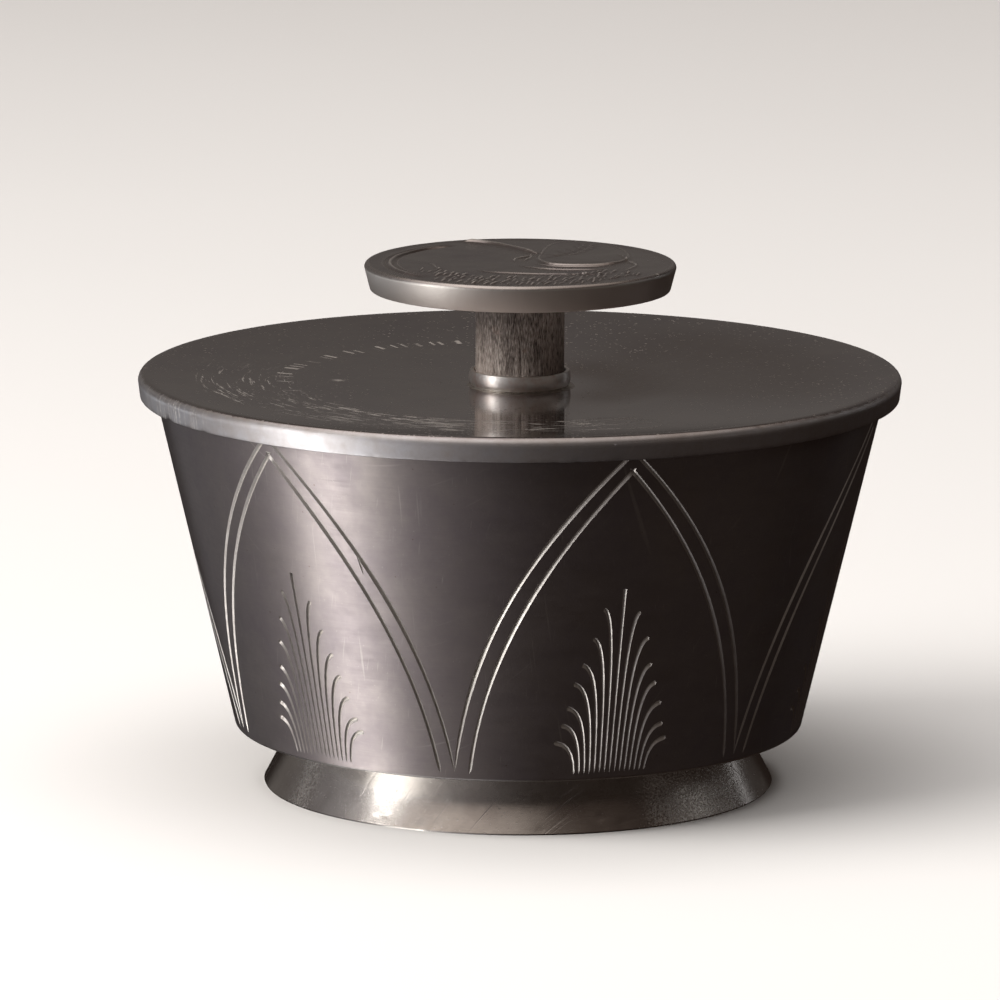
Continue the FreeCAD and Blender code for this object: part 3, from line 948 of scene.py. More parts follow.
def stem_grain(depth):
    """Open grain: long upright pores of seeded width, depth and length round the stem."""
    draw = np.random.default_rng(5)
    pores = [(draw.uniform(0, 2 * np.pi), draw.uniform(LID_MIDDLE, DISC_UNDER),
              draw.uniform(0.012, 0.035), draw.uniform(1.5, 6.0), draw.uniform(0.3, 1.0))
             for _ in range(190)]
    ridges = smooth_noise(6, 12, 90)

    def wobble(turns, radii, heights):
        out = -0.25 * depth * (1.0 + ridges(turns, heights * 0.15))
        for angle, height, width, reach, size in pores:
            away = (turns - angle + np.pi) % (2 * np.pi) - np.pi
            out = out - size * depth * np.exp(-(away / width) ** 2
                                              - ((heights - height) / reach) ** 4)
        return np.maximum(out, -2.2 * depth) * (radii > 5.0), np.zeros_like(heights)

    return wobble


def stem_outline(sizes):
    """The stem's section, from its bore out to its side."""
    stem = sizes.stem / MM
    edge = sizes.stem_edge / MM
    bore = sizes.stud / MM + 0.15
    low = (stem, LID_MIDDLE + edge)
    high = (stem, DISC_UNDER - edge)
    return [(bore, LID_MIDDLE), (stem - edge, LID_MIDDLE), *between(low, high, 64), high,
            (stem - edge, DISC_UNDER), (bore, DISC_UNDER)]


def threaded_stud(sizes):
    """The stud: a thread at its lower end, then a plain shank that runs up into the disc."""
    radius = sizes.stud / MM
    pitch = sizes.thread_pitch / MM
    root = 0.61 * pitch
    end_of_thread = LID_MIDDLE + 1.0
    rows = int((end_of_thread - STUD_END) / pitch * 8)
    heights = np.linspace(STUD_END, end_of_thread, rows)
    outline = [(0.0, STUD_END), (radius - 0.4, STUD_END)]
    outline += [(radius, z) for z in heights[1:]]
    outline += [(radius, STUD_TOP), (0.0, STUD_TOP)]

    def wobble(turns, radii, heights):
        wave = ((heights - STUD_END) / pitch - turns / (2 * np.pi)) % 1.0
        cut = root * (1.0 - np.abs(2.0 * wave - 1.0)) * 0.5
        fade = np.clip((end_of_thread - heights) / pitch, 0.0, 1.0)
        start = np.clip((heights - STUD_END) / pitch, 0.0, 1.0)
        chamfer = 0.4 * (1.0 - start) * (radii > radius - 0.1)
        return -cut * fade * (radii > radius - 0.1) - chamfer, np.zeros_like(heights)

    return lathe(outline, 48, closed=False, wobble=wobble)


def solder_bead(radius, height, out, up, seed, swell=None):
    """An uneven hollow fillet in a corner at a radius and a height, with two signed legs."""
    sink_out = math.copysign(0.35, out)
    sink_up = math.copysign(0.25, up)
    curve = [(radius + out * (1.0 - t) ** 2, height + up * t ** 2)
             for t in np.linspace(0.0, 1.0, 7)]
    outline = [(radius - sink_out, height - sink_up), (radius + out, height - sink_up)]
    outline += curve + [(radius - sink_out, height + up)]
    if out * up < 0.0:
        outline.reverse()
    wander = smooth_noise(seed, 8, 22)
    lumps = smooth_noise(seed + 1, 9, 60)

    def wobble(turns, radii, heights):
        share = np.clip((radii - radius) / out, 0.0, 1.0)
        rise = np.clip((heights - height) / up, 0.0, 1.0)
        grow = 0.35 * wander(turns) + 0.18 * lumps(turns)
        if swell:
            grow = grow + swell(turns)
        return share * out * grow, rise * up * 0.3 * lumps(turns, 1.0)

    return lathe(outline, 240, wobble=wobble)


# ---------------------------------------------------------------------------------------------
# Node trees
# ---------------------------------------------------------------------------------------------

def feed(tree, node, inputs):
    """Feed a node's inputs with values or with other nodes' outputs."""
    for key, value in inputs.items():
        if isinstance(value, bpy.types.NodeSocket):
            tree.links.new(value, node.inputs[key])
        else:
            node.inputs[key].default_value = value
    return node


def place(tree, kind, inputs=None, **settings):
    """Add a shader node, set it and feed it."""
    node = tree.nodes.new("ShaderNode" + kind)
    for name, value in settings.items():
        setattr(node, name, value)
    return feed(tree, node, inputs or {})


def math_node(tree, operation, first, second=0.5, third=0.5, clamp=False):
    """Output of a Math node over numbers or sockets."""
    inputs = {0: first, 1: second, 2: third}
    return place(tree, "Math", inputs, operation=operation, use_clamp=clamp).outputs[0]


def times(tree, *values):
    """Product of values."""
    total = values[0]
    for value in values[1:]:
        total = math_node(tree, "MULTIPLY", total, value)
    return total


def remap(tree, value, low, high, to_low=0.0, to_high=1.0, smooth=False):
    """A value moved from one range to another, and held inside it."""
    node = place(tree, "MapRange", {0: value, 1: low, 2: high, 3: to_low, 4: to_high},
                 interpolation_type="SMOOTHSTEP" if smooth else "LINEAR")
    return node.outputs[0]


def stretch(tree, vector, factor):
    """A vector times a number, or times a number for each axis."""
    if isinstance(factor, tuple):
        inputs, operation = {0: vector, 1: factor}, "MULTIPLY"
    else:
        inputs, operation = {0: vector, "Scale": factor}, "SCALE"
    return place(tree, "VectorMath", inputs, operation=operation).outputs[0]


def noise(tree, where, scale=1.0, detail=2.0, roughness=0.5, distortion=0.0):
    """A cloudy value, about 0.2 to 0.8."""
    return place(tree, "TexNoise", {"Vector": where, "Scale": scale, "Detail": detail,
                                    "Roughness": roughness, "Distortion": distortion}).outputs[0]


def mix(tree, factor, first, second):
    """Two colours mixed by a factor."""
    node = place(tree, "Mix", {0: factor, 6: first, 7: second}, data_type="RGBA")
    return node.outputs[2]


def opaque(rgb):
    """A colour with full alpha."""
    return (*rgb, 1.0)


def start_group(name, inputs, outputs):
    """Start a node group with a Place, named inputs (number or colour) and outputs (kind)."""
    tree = bpy.data.node_groups.new(name, "ShaderNodeTree")
    tree.interface.new_socket("Place", in_out="INPUT", socket_type="NodeSocketVector")
    for label, default in inputs.items():
        kind = "NodeSocketColor" if isinstance(default, tuple) else "NodeSocketFloat"
        socket = tree.interface.new_socket(label, in_out="INPUT", socket_type=kind)
        socket.default_value = default
    for label, kind in outputs.items():
        tree.interface.new_socket(label, in_out="OUTPUT", socket_type="NodeSocket" + kind)
    return tree, tree.nodes.new("NodeGroupInput").outputs, tree.nodes.new("NodeGroupOutput").inputs


def use_group(tree, name, where, inputs):
    """Place a node group in a tree, making it the first time it is asked for."""
    if name not in bpy.data.node_groups:
        GROUPS[name](name)
    node = place(tree, "Group", node_tree=bpy.data.node_groups[name])
    return feed(tree, node, {"Place": where, **inputs}).outputs


def polar(tree, where):
    """Radius from the axis, angle from the front and height, as sockets."""
    parts = place(tree, "SeparateXYZ", {0: where}).outputs
    square = math_node(tree, "MULTIPLY_ADD", parts[0], parts[0], times(tree, parts[1], parts[1]))
    radius = math_node(tree, "SQRT", square)
    front = times(tree, parts[1], -1.0)
    return radius, math_node(tree, "ARCTAN2", parts[0], front), parts[2]


def turned_lines_group(name):
    """Fine lines that run round the axis, as a lathe or a brushing wheel leaves them."""
    tree, given, out = start_group(name, {"Lines per mm": 2.0, "Break up": 3.0},
                                   {"Lines": "Float", "Bands": "Float"})
    radius, angle, height = polar(tree, given["Place"])
    run = times(tree, math_node(tree, "MULTIPLY_ADD", height, 1.3, radius), 1.0 / MM)
    cosine = times(tree, math_node(tree, "COSINE", angle), given["Break up"])
    sine = times(tree, math_node(tree, "SINE", angle), given["Break up"])
    for label, along, detail, roughness, low, high in (
            ("Lines", given["Lines per mm"], 3.0, 0.65, 0.25, 0.75),
            ("Bands", 0.22, 2.0, 0.5, 0.3, 0.7)):
        at = place(tree, "CombineXYZ", {0: cosine, 1: sine, 2: times(tree, run, along)})
        value = noise(tree, at.outputs[0], 1.0, detail, roughness)
        tree.links.new(remap(tree, value, low, high), out[label])


def ring_part_group(name):
    """A soft mask over part of a ring: between two radii and between two angles."""
    tree, given, out = start_group(
        name, {"Inner": 0.0, "Outer": 0.1, "From": -1.0, "To": 1.0, "Soft": 0.002,
               "Soft turn": 0.1}, {"Mask": "Float"})
    radius, angle, _ = polar(tree, given["Place"])
    masks = []
    for value, soft, start, end in ((radius, "Soft", "Inner", "Outer"),
                                    (angle, "Soft turn", "From", "To")):
        ahead = math_node(tree, "ADD", given[start], given[soft])
        behind = math_node(tree, "SUBTRACT", given[end], given[soft])
        masks.append(remap(tree, value, given[start], ahead, smooth=True))
        masks.append(remap(tree, value, behind, given[end], 1.0, 0.0, smooth=True))
    tree.links.new(times(tree, *masks), out["Mask"])


def tool_marks_group(name):
    """Short cross dashes in a ring round the axis, as a chattering tool leaves them."""
    tree, given, out = start_group(
        name, {"Ring": 0.05, "Length": 0.003, "Count": 90.0, "Thin": 0.2}, {"Marks": "Float"})
    radius, angle, _ = polar(tree, given["Place"])
    cell = times(tree, angle, 0.5 / math.pi, given["Count"])
    uneven = place(tree, "TexNoise", {"W": cell, "Scale": 0.7}, noise_dimensions="1D")
    cell = math_node(tree, "MULTIPLY_ADD", uneven.outputs[0], 1.6, cell)
    within_cell = math_node(tree, "SUBTRACT", math_node(tree, "FRACT", cell), 0.5)
    away = math_node(tree, "ABSOLUTE", within_cell)
    stripe = remap(tree, away, times(tree, given["Thin"], 0.4), given["Thin"], 1.0, 0.0,
                   smooth=True)
    chance = place(tree, "TexWhiteNoise", {"W": math_node(tree, "FLOOR", cell)},
                   noise_dimensions="1D").outputs[0]
    shift = times(tree, math_node(tree, "SUBTRACT", chance, 0.5),
                  times(tree, given["Length"], 0.6))
    gap = math_node(tree, "SUBTRACT", math_node(tree, "SUBTRACT", radius, given["Ring"]), shift)
    within = remap(tree, math_node(tree, "ABSOLUTE", gap), times(tree, given["Length"], 0.35),
                   times(tree, given["Length"], 0.5), 1.0, 0.0, smooth=True)
    strength = remap(tree, chance, 0.15, 0.6)
    tree.links.new(times(tree, stripe, within, strength), out["Marks"])


def scratches_group(name):
    """Thin straight scratches that lie every way, from handling and cleaning."""
    tree, given, out = start_group(name, {"Scale": 1.0, "Amount": 0.5}, {"Scratches": "Float"})
    threshold = remap(tree, given["Amount"], 0.0, 1.0, 0.80, 0.60)
    total = None
    for k, (tip, spin) in enumerate(((0.3, 0.4), (1.2, 1.5), (-0.7, 2.4), (0.9, -0.9))):
        turned = place(tree, "Mapping", {0: given["Place"], "Rotation": (tip, 0.35 * k, spin),
                                         "Location": (0.13 * k, 0.31 * k, 0.07 * k)}).outputs[0]
        drawn = stretch(tree, turned, (60.0, 2600.0, 2600.0 if k % 2 else 60.0))
        value = noise(tree, stretch(tree, drawn, given["Scale"]), 1.0, 1.0, 0.4)
        above = math_node(tree, "SUBTRACT", value, threshold)
        line = math_node(tree, "MULTIPLY", above, 9.0, clamp=True)
        total = line if total is None else math_node(tree, "MAXIMUM", total, line)
    tree.links.new(total, out["Scratches"])


def tarnish_group(name):
    """Cloudy darkening: broad clouds, smaller blotches and a fine mottle."""
    tree, given, out = start_group(
        name, {"Scale": 1.0, "Seed": 0.0, "Clean": opaque((0.5, 0.5, 0.5)),
               "Dark": opaque((0.1, 0.1, 0.1)), "Amount": 0.5},
        {"Colour": "Color", "Cloud": "Float", "Mottle": "Float"})
    start = place(tree, "CombineXYZ", {0: given["Seed"]}).outputs[0]
    shifted = place(tree, "VectorMath", {0: given["Place"], 1: start}, operation="ADD")
    at = stretch(tree, shifted.outputs[0], given["Scale"])
    cloud = noise(tree, at, 28.0, 4.0, 0.6, 0.4)
    blotch = noise(tree, at, 130.0, 5.0, 0.65)
    mottle = noise(tree, at, 900.0, 3.0)
    both = math_node(tree, "MULTIPLY_ADD", blotch, 0.45, times(tree, cloud, 0.55))
    spread = math_node(tree, "SUBTRACT", both, 0.5)
    spread = math_node(tree, "MULTIPLY_ADD", spread, 3.2, given["Amount"])
    factor = place(tree, "Clamp", {0: spread}).outputs[0]
    tree.links.new(mix(tree, factor, given["Clean"], given["Dark"]), out["Colour"])
    tree.links.new(factor, out["Cloud"])
    tree.links.new(remap(tree, mottle, 0.3, 0.7), out["Mottle"])


def specks_group(name):
    """Scattered specks and pits of uneven size."""
    tree, given, out = start_group(name, {"Per mm": 1.0, "Share": 0.1, "Size": 0.2},
                                   {"Specks": "Float"})
    dense = stretch(tree, stretch(tree, given["Place"], 1.0 / MM), given["Per mm"])
    cells = place(tree, "TexVoronoi", {"Vector": dense, "Scale": 1.0, "Randomness": 1.0}).outputs
    chance = place(tree, "SeparateColor", {0: cells["Color"]}).outputs
    chosen = math_node(tree, "LESS_THAN", chance[0], given["Share"])
    size = times(tree, given["Size"], remap(tree, chance[1], 0.0, 1.0, 0.4, 1.2))
    inside = math_node(tree, "SUBTRACT", size, cells["Distance"])
    soft = math_node(tree, "MULTIPLY", inside, 12.0, clamp=True)
    tree.links.new(times(tree, soft, chosen), out["Specks"])


def band_group(name):
    """A worn band: a mask between two levels of a value, with a ragged edge."""
    tree, given, out = start_group(
        name, {"Value": 0.0, "From": 0.0, "To": 1.0, "Ragged": 0.3, "Scale": 300.0},
        {"Band": "Float"})
    cloud = noise(tree, given["Place"], given["Scale"], 4.0, 0.7)
    width = math_node(tree, "SUBTRACT", given["To"], given["From"])
    jitter = times(tree, math_node(tree, "SUBTRACT", cloud, 0.5), width)
    moved = math_node(tree, "MULTIPLY_ADD", jitter, given["Ragged"], given["Value"])
    band = remap(tree, moved, given["From"], given["To"], smooth=True)
    tree.links.new(band, out["Band"])


GROUPS = {
    "Turned lines": turned_lines_group,
    "Fine scratches": scratches_group,
    "Tarnish": tarnish_group,
    "Specks": specks_group,
    "Worn band": band_group,
    "Ring part": ring_part_group,
    "Tool marks": tool_marks_group,
}


# ---------------------------------------------------------------------------------------------
# Materials
# ---------------------------------------------------------------------------------------------

def start_material(name, metallic=1.0, anisotropy=0.0):
    """Start a material: its tree, its shader and the place on the object."""
    material = bpy.data.materials.new(name)
    material.use_nodes = True
    tree = material.node_tree
    shader = tree.nodes["Principled BSDF"]
    shader.inputs["Metallic"].default_value = metallic
    where = place(tree, "TexCoord").outputs["Object"]
    if anisotropy:
        shader.inputs["Anisotropic"].default_value = anisotropy
        shader.inputs["Anisotropic Rotation"].default_value = 0.25
        around = place(tree, "Tangent", direction_type="RADIAL", axis="Z")
        tree.links.new(around.outputs[0], shader.inputs["Tangent"])
    return material, tree, shader, where


def weigh(tree, *pairs, start=0.0):
    """A start value plus sockets, each times its weight."""
    total = start
    for value, weight in pairs:
        total = math_node(tree, "MULTIPLY_ADD", value, weight, total)
    return total


def bump(tree, shader, height, distance, strength):
    """Feed a height, times a distance in millimetres, to the shader's normal."""
    node = place(tree, "Bump", {"Height": height, "Distance": distance * MM,
                                "Strength": strength})
    tree.links.new(node.outputs[0], shader.inputs["Normal"])


def give_surface(tree, shader, base, smoothest, *rougher):
    """Feed the shader a base colour, and a roughness with the sockets that change it."""
    tree.links.new(base, shader.inputs["Base Color"])
    tree.links.new(weigh(tree, *rougher, start=smoothest), shader.inputs["Roughness"])


def lay(tree, base, rgb, mask, amount=1.0):
    """A base colour with another laid over it, as much as a mask and an amount say."""
    factor = mask if amount == 1.0 else times(tree, mask, amount)
    return mix(tree, factor, base, opaque(rgb))


def turned_lines(tree, where, per_mm, break_up):
    """Outputs of the lines that run round the axis."""
    return use_group(tree, "Turned lines", where, {"Lines per mm": per_mm, "Break up": break_up})


def tarnish_between(tree, where, clean, dark, amount, scale, seed=0.0):
    """Outputs of the cloudy darkening from one colour to another."""
    return use_group(tree, "Tarnish", where, {
        "Scale": scale, "Seed": seed, "Clean": opaque(clean), "Dark": opaque(dark),
        "Amount": amount})


def scratched(tree, where, amount, scale=1.0):
    """Mask of the thin straight scratches."""
    return use_group(tree, "Fine scratches", where, {"Amount": amount,
                                                     "Scale": scale})["Scratches"]


def specked(tree, where, per_mm, share, size):
    """Mask of scattered specks."""
    return use_group(tree, "Specks", where, {"Per mm": per_mm, "Share": share,
                                             "Size": size})["Specks"]


def ring_part(tree, where, radii, angles, soft=2.0, soft_turn=5.73):
    """Mask of part of a ring, between two radii in millimetres and two angles in degrees."""
    start, end, turn = (math.radians(angle) for angle in (*angles, soft_turn))
    return use_group(tree, "Ring part", where, {
        "Inner": radii[0] * MM, "Outer": radii[1] * MM, "Soft": soft * MM,
        "From": start, "To": end, "Soft turn": turn})["Mask"]


def tool_marks(tree, where, ring, reach, count, thin):
    """Mask of cross dashes on a ring, its radius and their reach in millimetres."""
    return use_group(tree, "Tool marks", where, {
        "Ring": ring * MM, "Length": reach * MM, "Count": count, "Thin": thin})["Marks"]


def satin_wall(colours):
    """Satin pewter, brushed round the wall, darkened by age, with a soldered seam behind."""
    material, tree, shader, where = start_material("satin_wall", anisotropy=0.82)
    lines = turned_lines(tree, where, 3.0, 7.0)
    tarnish = tarnish_between(tree, where, colours.pewter, colours.tarnish, 0.55, 0.9)
    scratches = scratched(tree, where, 0.4)
    specks = specked(tree, where, 0.9, 0.07, 0.16)
    _, angle, tall = polar(tree, where)
    # Painted highlight, on metal that is also polished there: near-white metal along the wall's
    # lowest half millimetre, giving the thin bright line at its bottom corner.
    corner = remap(tree, tall, (FOOT_TOP + 0.50) * MM, (FOOT_TOP + 0.35) * MM)
    seam = remap(tree, math_node(tree, "ABSOLUTE", angle), math.pi - 0.010, math.pi - 0.006)
    grain = weigh(tree, (lines["Lines"], 0.22), (tarnish["Mottle"], 0.16), (seam, 0.5))
    base = lay(tree, tarnish["Colour"], colours.tarnish, grain)
    base = lay(tree, base, colours.bright, scratches, 0.30)
    base = lay(tree, base, colours.stain, specks, 0.5)
    base = lay(tree, base, colours.glint, corner)
    give_surface(tree, shader, base, 0.31, (lines["Lines"], 0.10), (tarnish["Cloud"], 0.08),
                 (lines["Bands"], 0.05), (tarnish["Mottle"], 0.04), (corner, -0.15))
    height = weigh(tree, (lines["Lines"], 1.0), (scratches, -1.0), (specks, -1.5),
                   (tarnish["Mottle"], 0.5), (seam, 2.0))
    bump(tree, shader, height, 0.010, 0.5)
    return material


def engraved_cut(colours):
    """Bright metal inside the engraved grooves."""
    material, tree, shader, where = start_material("engraved_cut")
    tarnish = tarnish_between(tree, where, colours.bright, colours.pewter, 0.1, 3.0)
    give_surface(tree, shader, tarnish["Colour"], 0.33, (tarnish["Mottle"], 0.15),
                 (tarnish["Cloud"], 0.1))
    bump(tree, shader, tarnish["Mottle"], 0.02, 0.5)
    return material


def lid_marks(tree, where):
    """Everything that scores the top of the lid, with a painted highlight streak, as one mask."""
    rings = turned_lines(tree, where, 1.5, 6.0)
    near = ring_part(tree, where, (42.0, 66.0), (-114.6, 40.1), 4.0, 28.65)
    scored = times(tree, remap(tree, rings["Lines"], 0.655, 0.75), near)
    far = ring_part(tree, where, (40.0, 52.0), (-169.0, -69.9))
    struck = times(tree, tool_marks(tree, where, 46.0, 3.6, 104.0, 0.19), far)
    # Painted highlight: a short bright streak on the lid's left, standing in for the light a small
    # dent would catch.
    painted_streak_highlight = ring_part(tree, where, (33.5, 38.0), (-95.7, -89.4), 2.2, 2.86)
    return math_node(tree, "MAXIMUM", math_node(tree, "MAXIMUM", scored, struck), painted_streak_highlight)


def worn_rim(tree, where, colours):
    """Mask and patches of the bright metal round the lid's edge, and the mask of its knocks."""
    radius, _, _ = polar(tree, where)
    rim = use_group(tree, "Worn band", where, {
        "Value": radius, "From": (LID_RADIUS - 1.1) * MM, "To": (LID_RADIUS - 0.3) * MM,
        "Ragged": 1.0, "Scale": 420.0})["Band"]
    bluish = tuple(c * t for c, t in zip(colours.bright, (0.90, 0.93, 1.02)))
    patches = tarnish_between(tree, where, bluish, colours.pewter, 0.35, 2.2, 5.0)
    nicks = tool_marks(tree, where, LID_RADIUS - 0.1, 10.0, 410.0, 0.22)
    left = ring_part(tree, where, (70.0, 80.0), (-83.1, -45.8), soft_turn=14.3)
    return rim, patches, times(tree, nicks, left, patches["Mottle"], rim)


def worn_lid(colours):
    """Worn pewter of the lid: smooth and mirror-like on top, dusted, scored, bright at its rim, with
    painted shadow to the right of the collar and the knob.
    """
    material, tree, shader, where = start_material("worn_lid", anisotropy=0.2)
    lines = turned_lines(tree, where, 1.6, 8.0)
    tarnish = tarnish_between(tree, where, colours.pewter, colours.tarnish, 0.45, 0.8, 0.3)
    fine = specked(tree, where, 1.0, 0.55, 0.32)
    dust = specked(tree, where, 0.55, 0.12, 0.12)
    scratches = scratched(tree, where, 0.3, 0.8)
    facing_up = place(tree, "SeparateXYZ", {0: place(tree, "TexCoord").outputs["Normal"]})
    upper = remap(tree, facing_up.outputs[2], 0.5, 0.8)
    marks_and_streak_highlight = times(tree, lid_marks(tree, where), upper)
    rim, patches, knocked = worn_rim(tree, where, colours)
    # Painted shadow: brown laid on the lid's right, close to the collar and, broader, beside the
    # knob, where their shadows fall away from the key light.
    painted_film_shadow = ring_part(tree, where, (9.0, 34.0), (17.2, 177.6), 12.0, 34.4)
    shade = ring_part(tree, where, (12.0, 74.0), (45.8, 171.9), 20.0, 34.4)
    sprinkled = times(tree, fine, remap(tree, tarnish["Cloud"], 0.0, 1.0, 0.25, 1.0),
                      remap(tree, rim, 0.0, 1.0, 1.0, 0.0), upper)
    base = tarnish["Colour"]
    for rgb, mask, amount in ((colours.stain, painted_film_shadow, 0.85), (colours.stain, shade, 0.55),
                              (colours.tarnish, tarnish["Mottle"], 0.35),
                              (colours.dust, sprinkled, 0.75), (colours.dust, scratches, 0.3),
                              (colours.dust, dust, 0.9)):
        base = lay(tree, base, rgb, mask, amount)
    base = mix(tree, rim, base, patches["Colour"])
    # The glint colour here is bare metal on the scored rings, tool marks and knocks, and a painted
    # highlight on the streak.
    base = lay(tree, base, colours.glint, math_node(tree, "MAXIMUM", marks_and_streak_highlight, knocked))
    on_rim = times(tree, rim, weigh(tree, (patches["Cloud"], 0.10), start=0.31))
    give_surface(tree, shader, base, 0.05, (lines["Lines"], 0.03), (tarnish["Cloud"], 0.03),
                 (sprinkled, 0.45), (dust, 0.5), (marks_and_streak_highlight, 0.5), (scratches, 0.15),
                 (on_rim, 1.0), (knocked, 0.3))
    height = weigh(tree, (lines["Lines"], 0.25), (sprinkled, 1.0), (dust, 3.0), (marks_and_streak_highlight, 4.0),
                   (scratches, -1.0), (knocked, -4.0), (times(tree, rim, patches["Cloud"]), 2.0))
    bump(tree, shader, height, 0.010, 0.6)
    return material


def cast_disc(colours):
    """Cast pewter, darker in the low places of the relief, rubbed bright at its side, and near-white
    on its raised ridges, partly rubbed metal and partly a painted highlight.
    """
    material, tree, shader, where = start_material("cast_disc")
    _, _, tall = polar(tree, where)
    tarnish = tarnish_between(tree, where, colours.pewter, colours.tarnish, 0.4, 1.5, 0.7)
    scratches = scratched(tree, where, 0.4)
    raised = place(tree, "NewGeometry").outputs["Pointiness"]
    # Raised ridges: near-white metal that is partly rubbing wear and partly a painted highlight
    # along them.
    high = remap(tree, raised, 0.505, 0.545)
    low = remap(tree, raised, 0.49, 0.44)
    side = remap(tree, tall, (DISC_TOP - 0.3) * MM, (DISC_TOP - 0.9) * MM)
    base = lay(tree, tarnish["Colour"], colours.glint, high, 0.95)
    base = lay(tree, base, colours.stain, low, 0.75)
    base = lay(tree, base, colours.bright, side, 0.85)
    give_surface(tree, shader, base, 0.15, (tarnish["Cloud"], 0.08), (scratches, 0.1),
                 (side, 0.16), (tarnish["Mottle"], 0.04), (high, 0.25))
    bump(tree, shader, weigh(tree, (tarnish["Mottle"], 1.0), (scratches, -1.0)), 0.012, 0.5)
    return material


def polished_foot(colours):
    """Polished pewter of the foot ring, pitted and scuffed in places."""
    material, tree, shader, where = start_material("polished_foot")
    lines = turned_lines(tree, where, 2.0, 7.0)
    tarnish = tarnish_between(tree, where, colours.bright, colours.pewter, 0.35, 1.3, 1.1)
    scratches = scratched(tree, where, 0.6)
    scuffs = use_group(tree, "Tarnish", where, {"Scale": 2.6, "Seed": 2.6})["Mottle"]
    right = ring_part(tree, where, (40.0, 60.0), (25.8, 65.9), soft_turn=11.46)
    left = ring_part(tree, where, (40.0, 60.0), (-68.8, -48.7), soft_turn=11.46)
    worn = math_node(tree, "MAXIMUM", right, left)
    pitted = times(tree, remap(tree, scuffs, 0.46, 0.72), worn)
    base = lay(tree, tarnish["Colour"], colours.tarnish, scratches, 0.25)
    base = lay(tree, base, colours.glint, pitted, 0.5)
    give_surface(tree, shader, base, 0.15, (lines["Lines"], 0.03), (tarnish["Cloud"], 0.06),
                 (scratches, 0.1), (worn, 0.05), (pitted, 0.12))
    height = weigh(tree, (lines["Lines"], 0.6), (scratches, -1.5), (tarnish["Mottle"], 0.5),
                   (pitted, -4.0), (times(tree, worn, tarnish["Mottle"]), 2.0))
    bump(tree, shader, height, 0.010, 0.6)
    return material


def polished_collar(colours):
    """Bright pewter of the collar, softly brushed, with warm brown clouds that are a painted
    reflection of warm lamps.
    """
    material, tree, shader, where = start_material("polished_collar", anisotropy=0.3)
    lines = turned_lines(tree, where, 4.0, 3.0)
    # Painted reflection: the warm brown clouds stand in for the warm spots that the collar mirrors.
    tarnish = tarnish_between(tree, where, colours.glint, colours.heat, 0.12, 3.5, 1.7)
    give_surface(tree, shader, tarnish["Colour"], 0.36, (lines["Lines"], 0.06),
                 (tarnish["Cloud"], 0.08))
    height = weigh(tree, (lines["Lines"], 0.8), (tarnish["Mottle"], 0.5))
    bump(tree, shader, height, 0.010, 0.5)
    return material


def soft_solder(colours):
    """Soft solder, lumpy and a little stained."""
    material, tree, shader, where = start_material("soft_solder")
    tarnish = tarnish_between(tree, where, colours.solder, colours.stain, 0.25, 6.0, 2.0)
    give_surface(tree, shader, tarnish["Colour"], 0.25, (tarnish["Mottle"], 0.2),
                 (tarnish["Cloud"], 0.1))
    bump(tree, shader, tarnish["Mottle"], 0.05, 0.6)
    return material


def fibrous_wood(colours):
    """Dark stained wood with short upright fibres, worn grey on the high ones, darkened under the
    disc as a painted shadow.
    """
    material, tree, shader, where = start_material("fibrous_wood", metallic=0.0)
    shader.inputs["Specular IOR Level"].default_value = 0.4
    fibres = noise(tree, stretch(tree, where, (7000.0, 7000.0, 750.0)), 1.0, 3.0, 0.6)
    bands = noise(tree, stretch(tree, where, (700.0, 700.0, 60.0)), 1.0, 3.0)
    stained = tarnish_between(tree, where, colours.wood, colours.wood_pores, 0.22, 3.0, 3.0)
    height = weigh(tree, (fibres, 1.0), (bands, 0.35))
    pores = remap(tree, height, 0.66, 0.52)
    worn = remap(tree, height, 0.68, 0.86)
    _, _, tall = polar(tree, where)
    # Painted shadow: the top of the stem darkens towards the disc, where the disc's shadow falls.
    painted_disc_shadow = times(tree, remap(tree, tall, (DISC_UNDER - 7.0) * MM, (DISC_UNDER - 1.0) * MM),
                    remap(tree, stained["Cloud"], 0.1, 0.5))
    warm = remap(tree, stained["Cloud"], 0.50, 0.75)
    base = lay(tree, stained["Colour"], colours.wood_worn, worn)
    base = lay(tree, base, colours.heat, warm, 0.22)
    base = lay(tree, base, colours.wood_pores, painted_disc_shadow, 0.7)
    base = lay(tree, base, colours.wood_pores, pores, 0.9)
    give_surface(tree, shader, base, 0.5, (worn, -0.12), (pores, 0.2))
    bump(tree, shader, height, 0.14, 0.7)
    return material


def turned_brass(colours):
    """Plain brass of the stud, the nut and the washer."""
    material, tree, shader, where = start_material("turned_brass")
    lines = turned_lines(tree, where, 6.0, 4.0)
    tarnish = tarnish_between(tree, where, colours.brass, colours.stain, 0.3, 5.0, 4.0)
    give_surface(tree, shader, tarnish["Colour"], 0.22, (lines["Lines"], 0.1),
                 (tarnish["Cloud"], 0.2))
    bump(tree, shader, lines["Lines"], 0.01, 0.5)
    return material


def plain_floor(colours):
    """Pale matt floor of the stage."""
    material, tree, shader, where = start_material("plain_floor", metallic=0.0)
    shade = tuple(c * 0.97 for c in colours.ground)
    base = mix(tree, noise(tree, where, 3.0), opaque(colours.ground), opaque(shade))
    tree.links.new(base, shader.inputs["Base Color"])
    shader.inputs["Roughness"].default_value = 0.9
    shader.inputs["Specular IOR Level"].default_value = 0.1
    return material


def finish(kind):
    """A material of the given kind, made once and then shared."""
    name = kind.__name__
    if name not in bpy.data.materials:
        kind(bpy.context.scene.bowl_colours)
    return bpy.data.materials[name]


# ---------------------------------------------------------------------------------------------
# The stage
# ---------------------------------------------------------------------------------------------

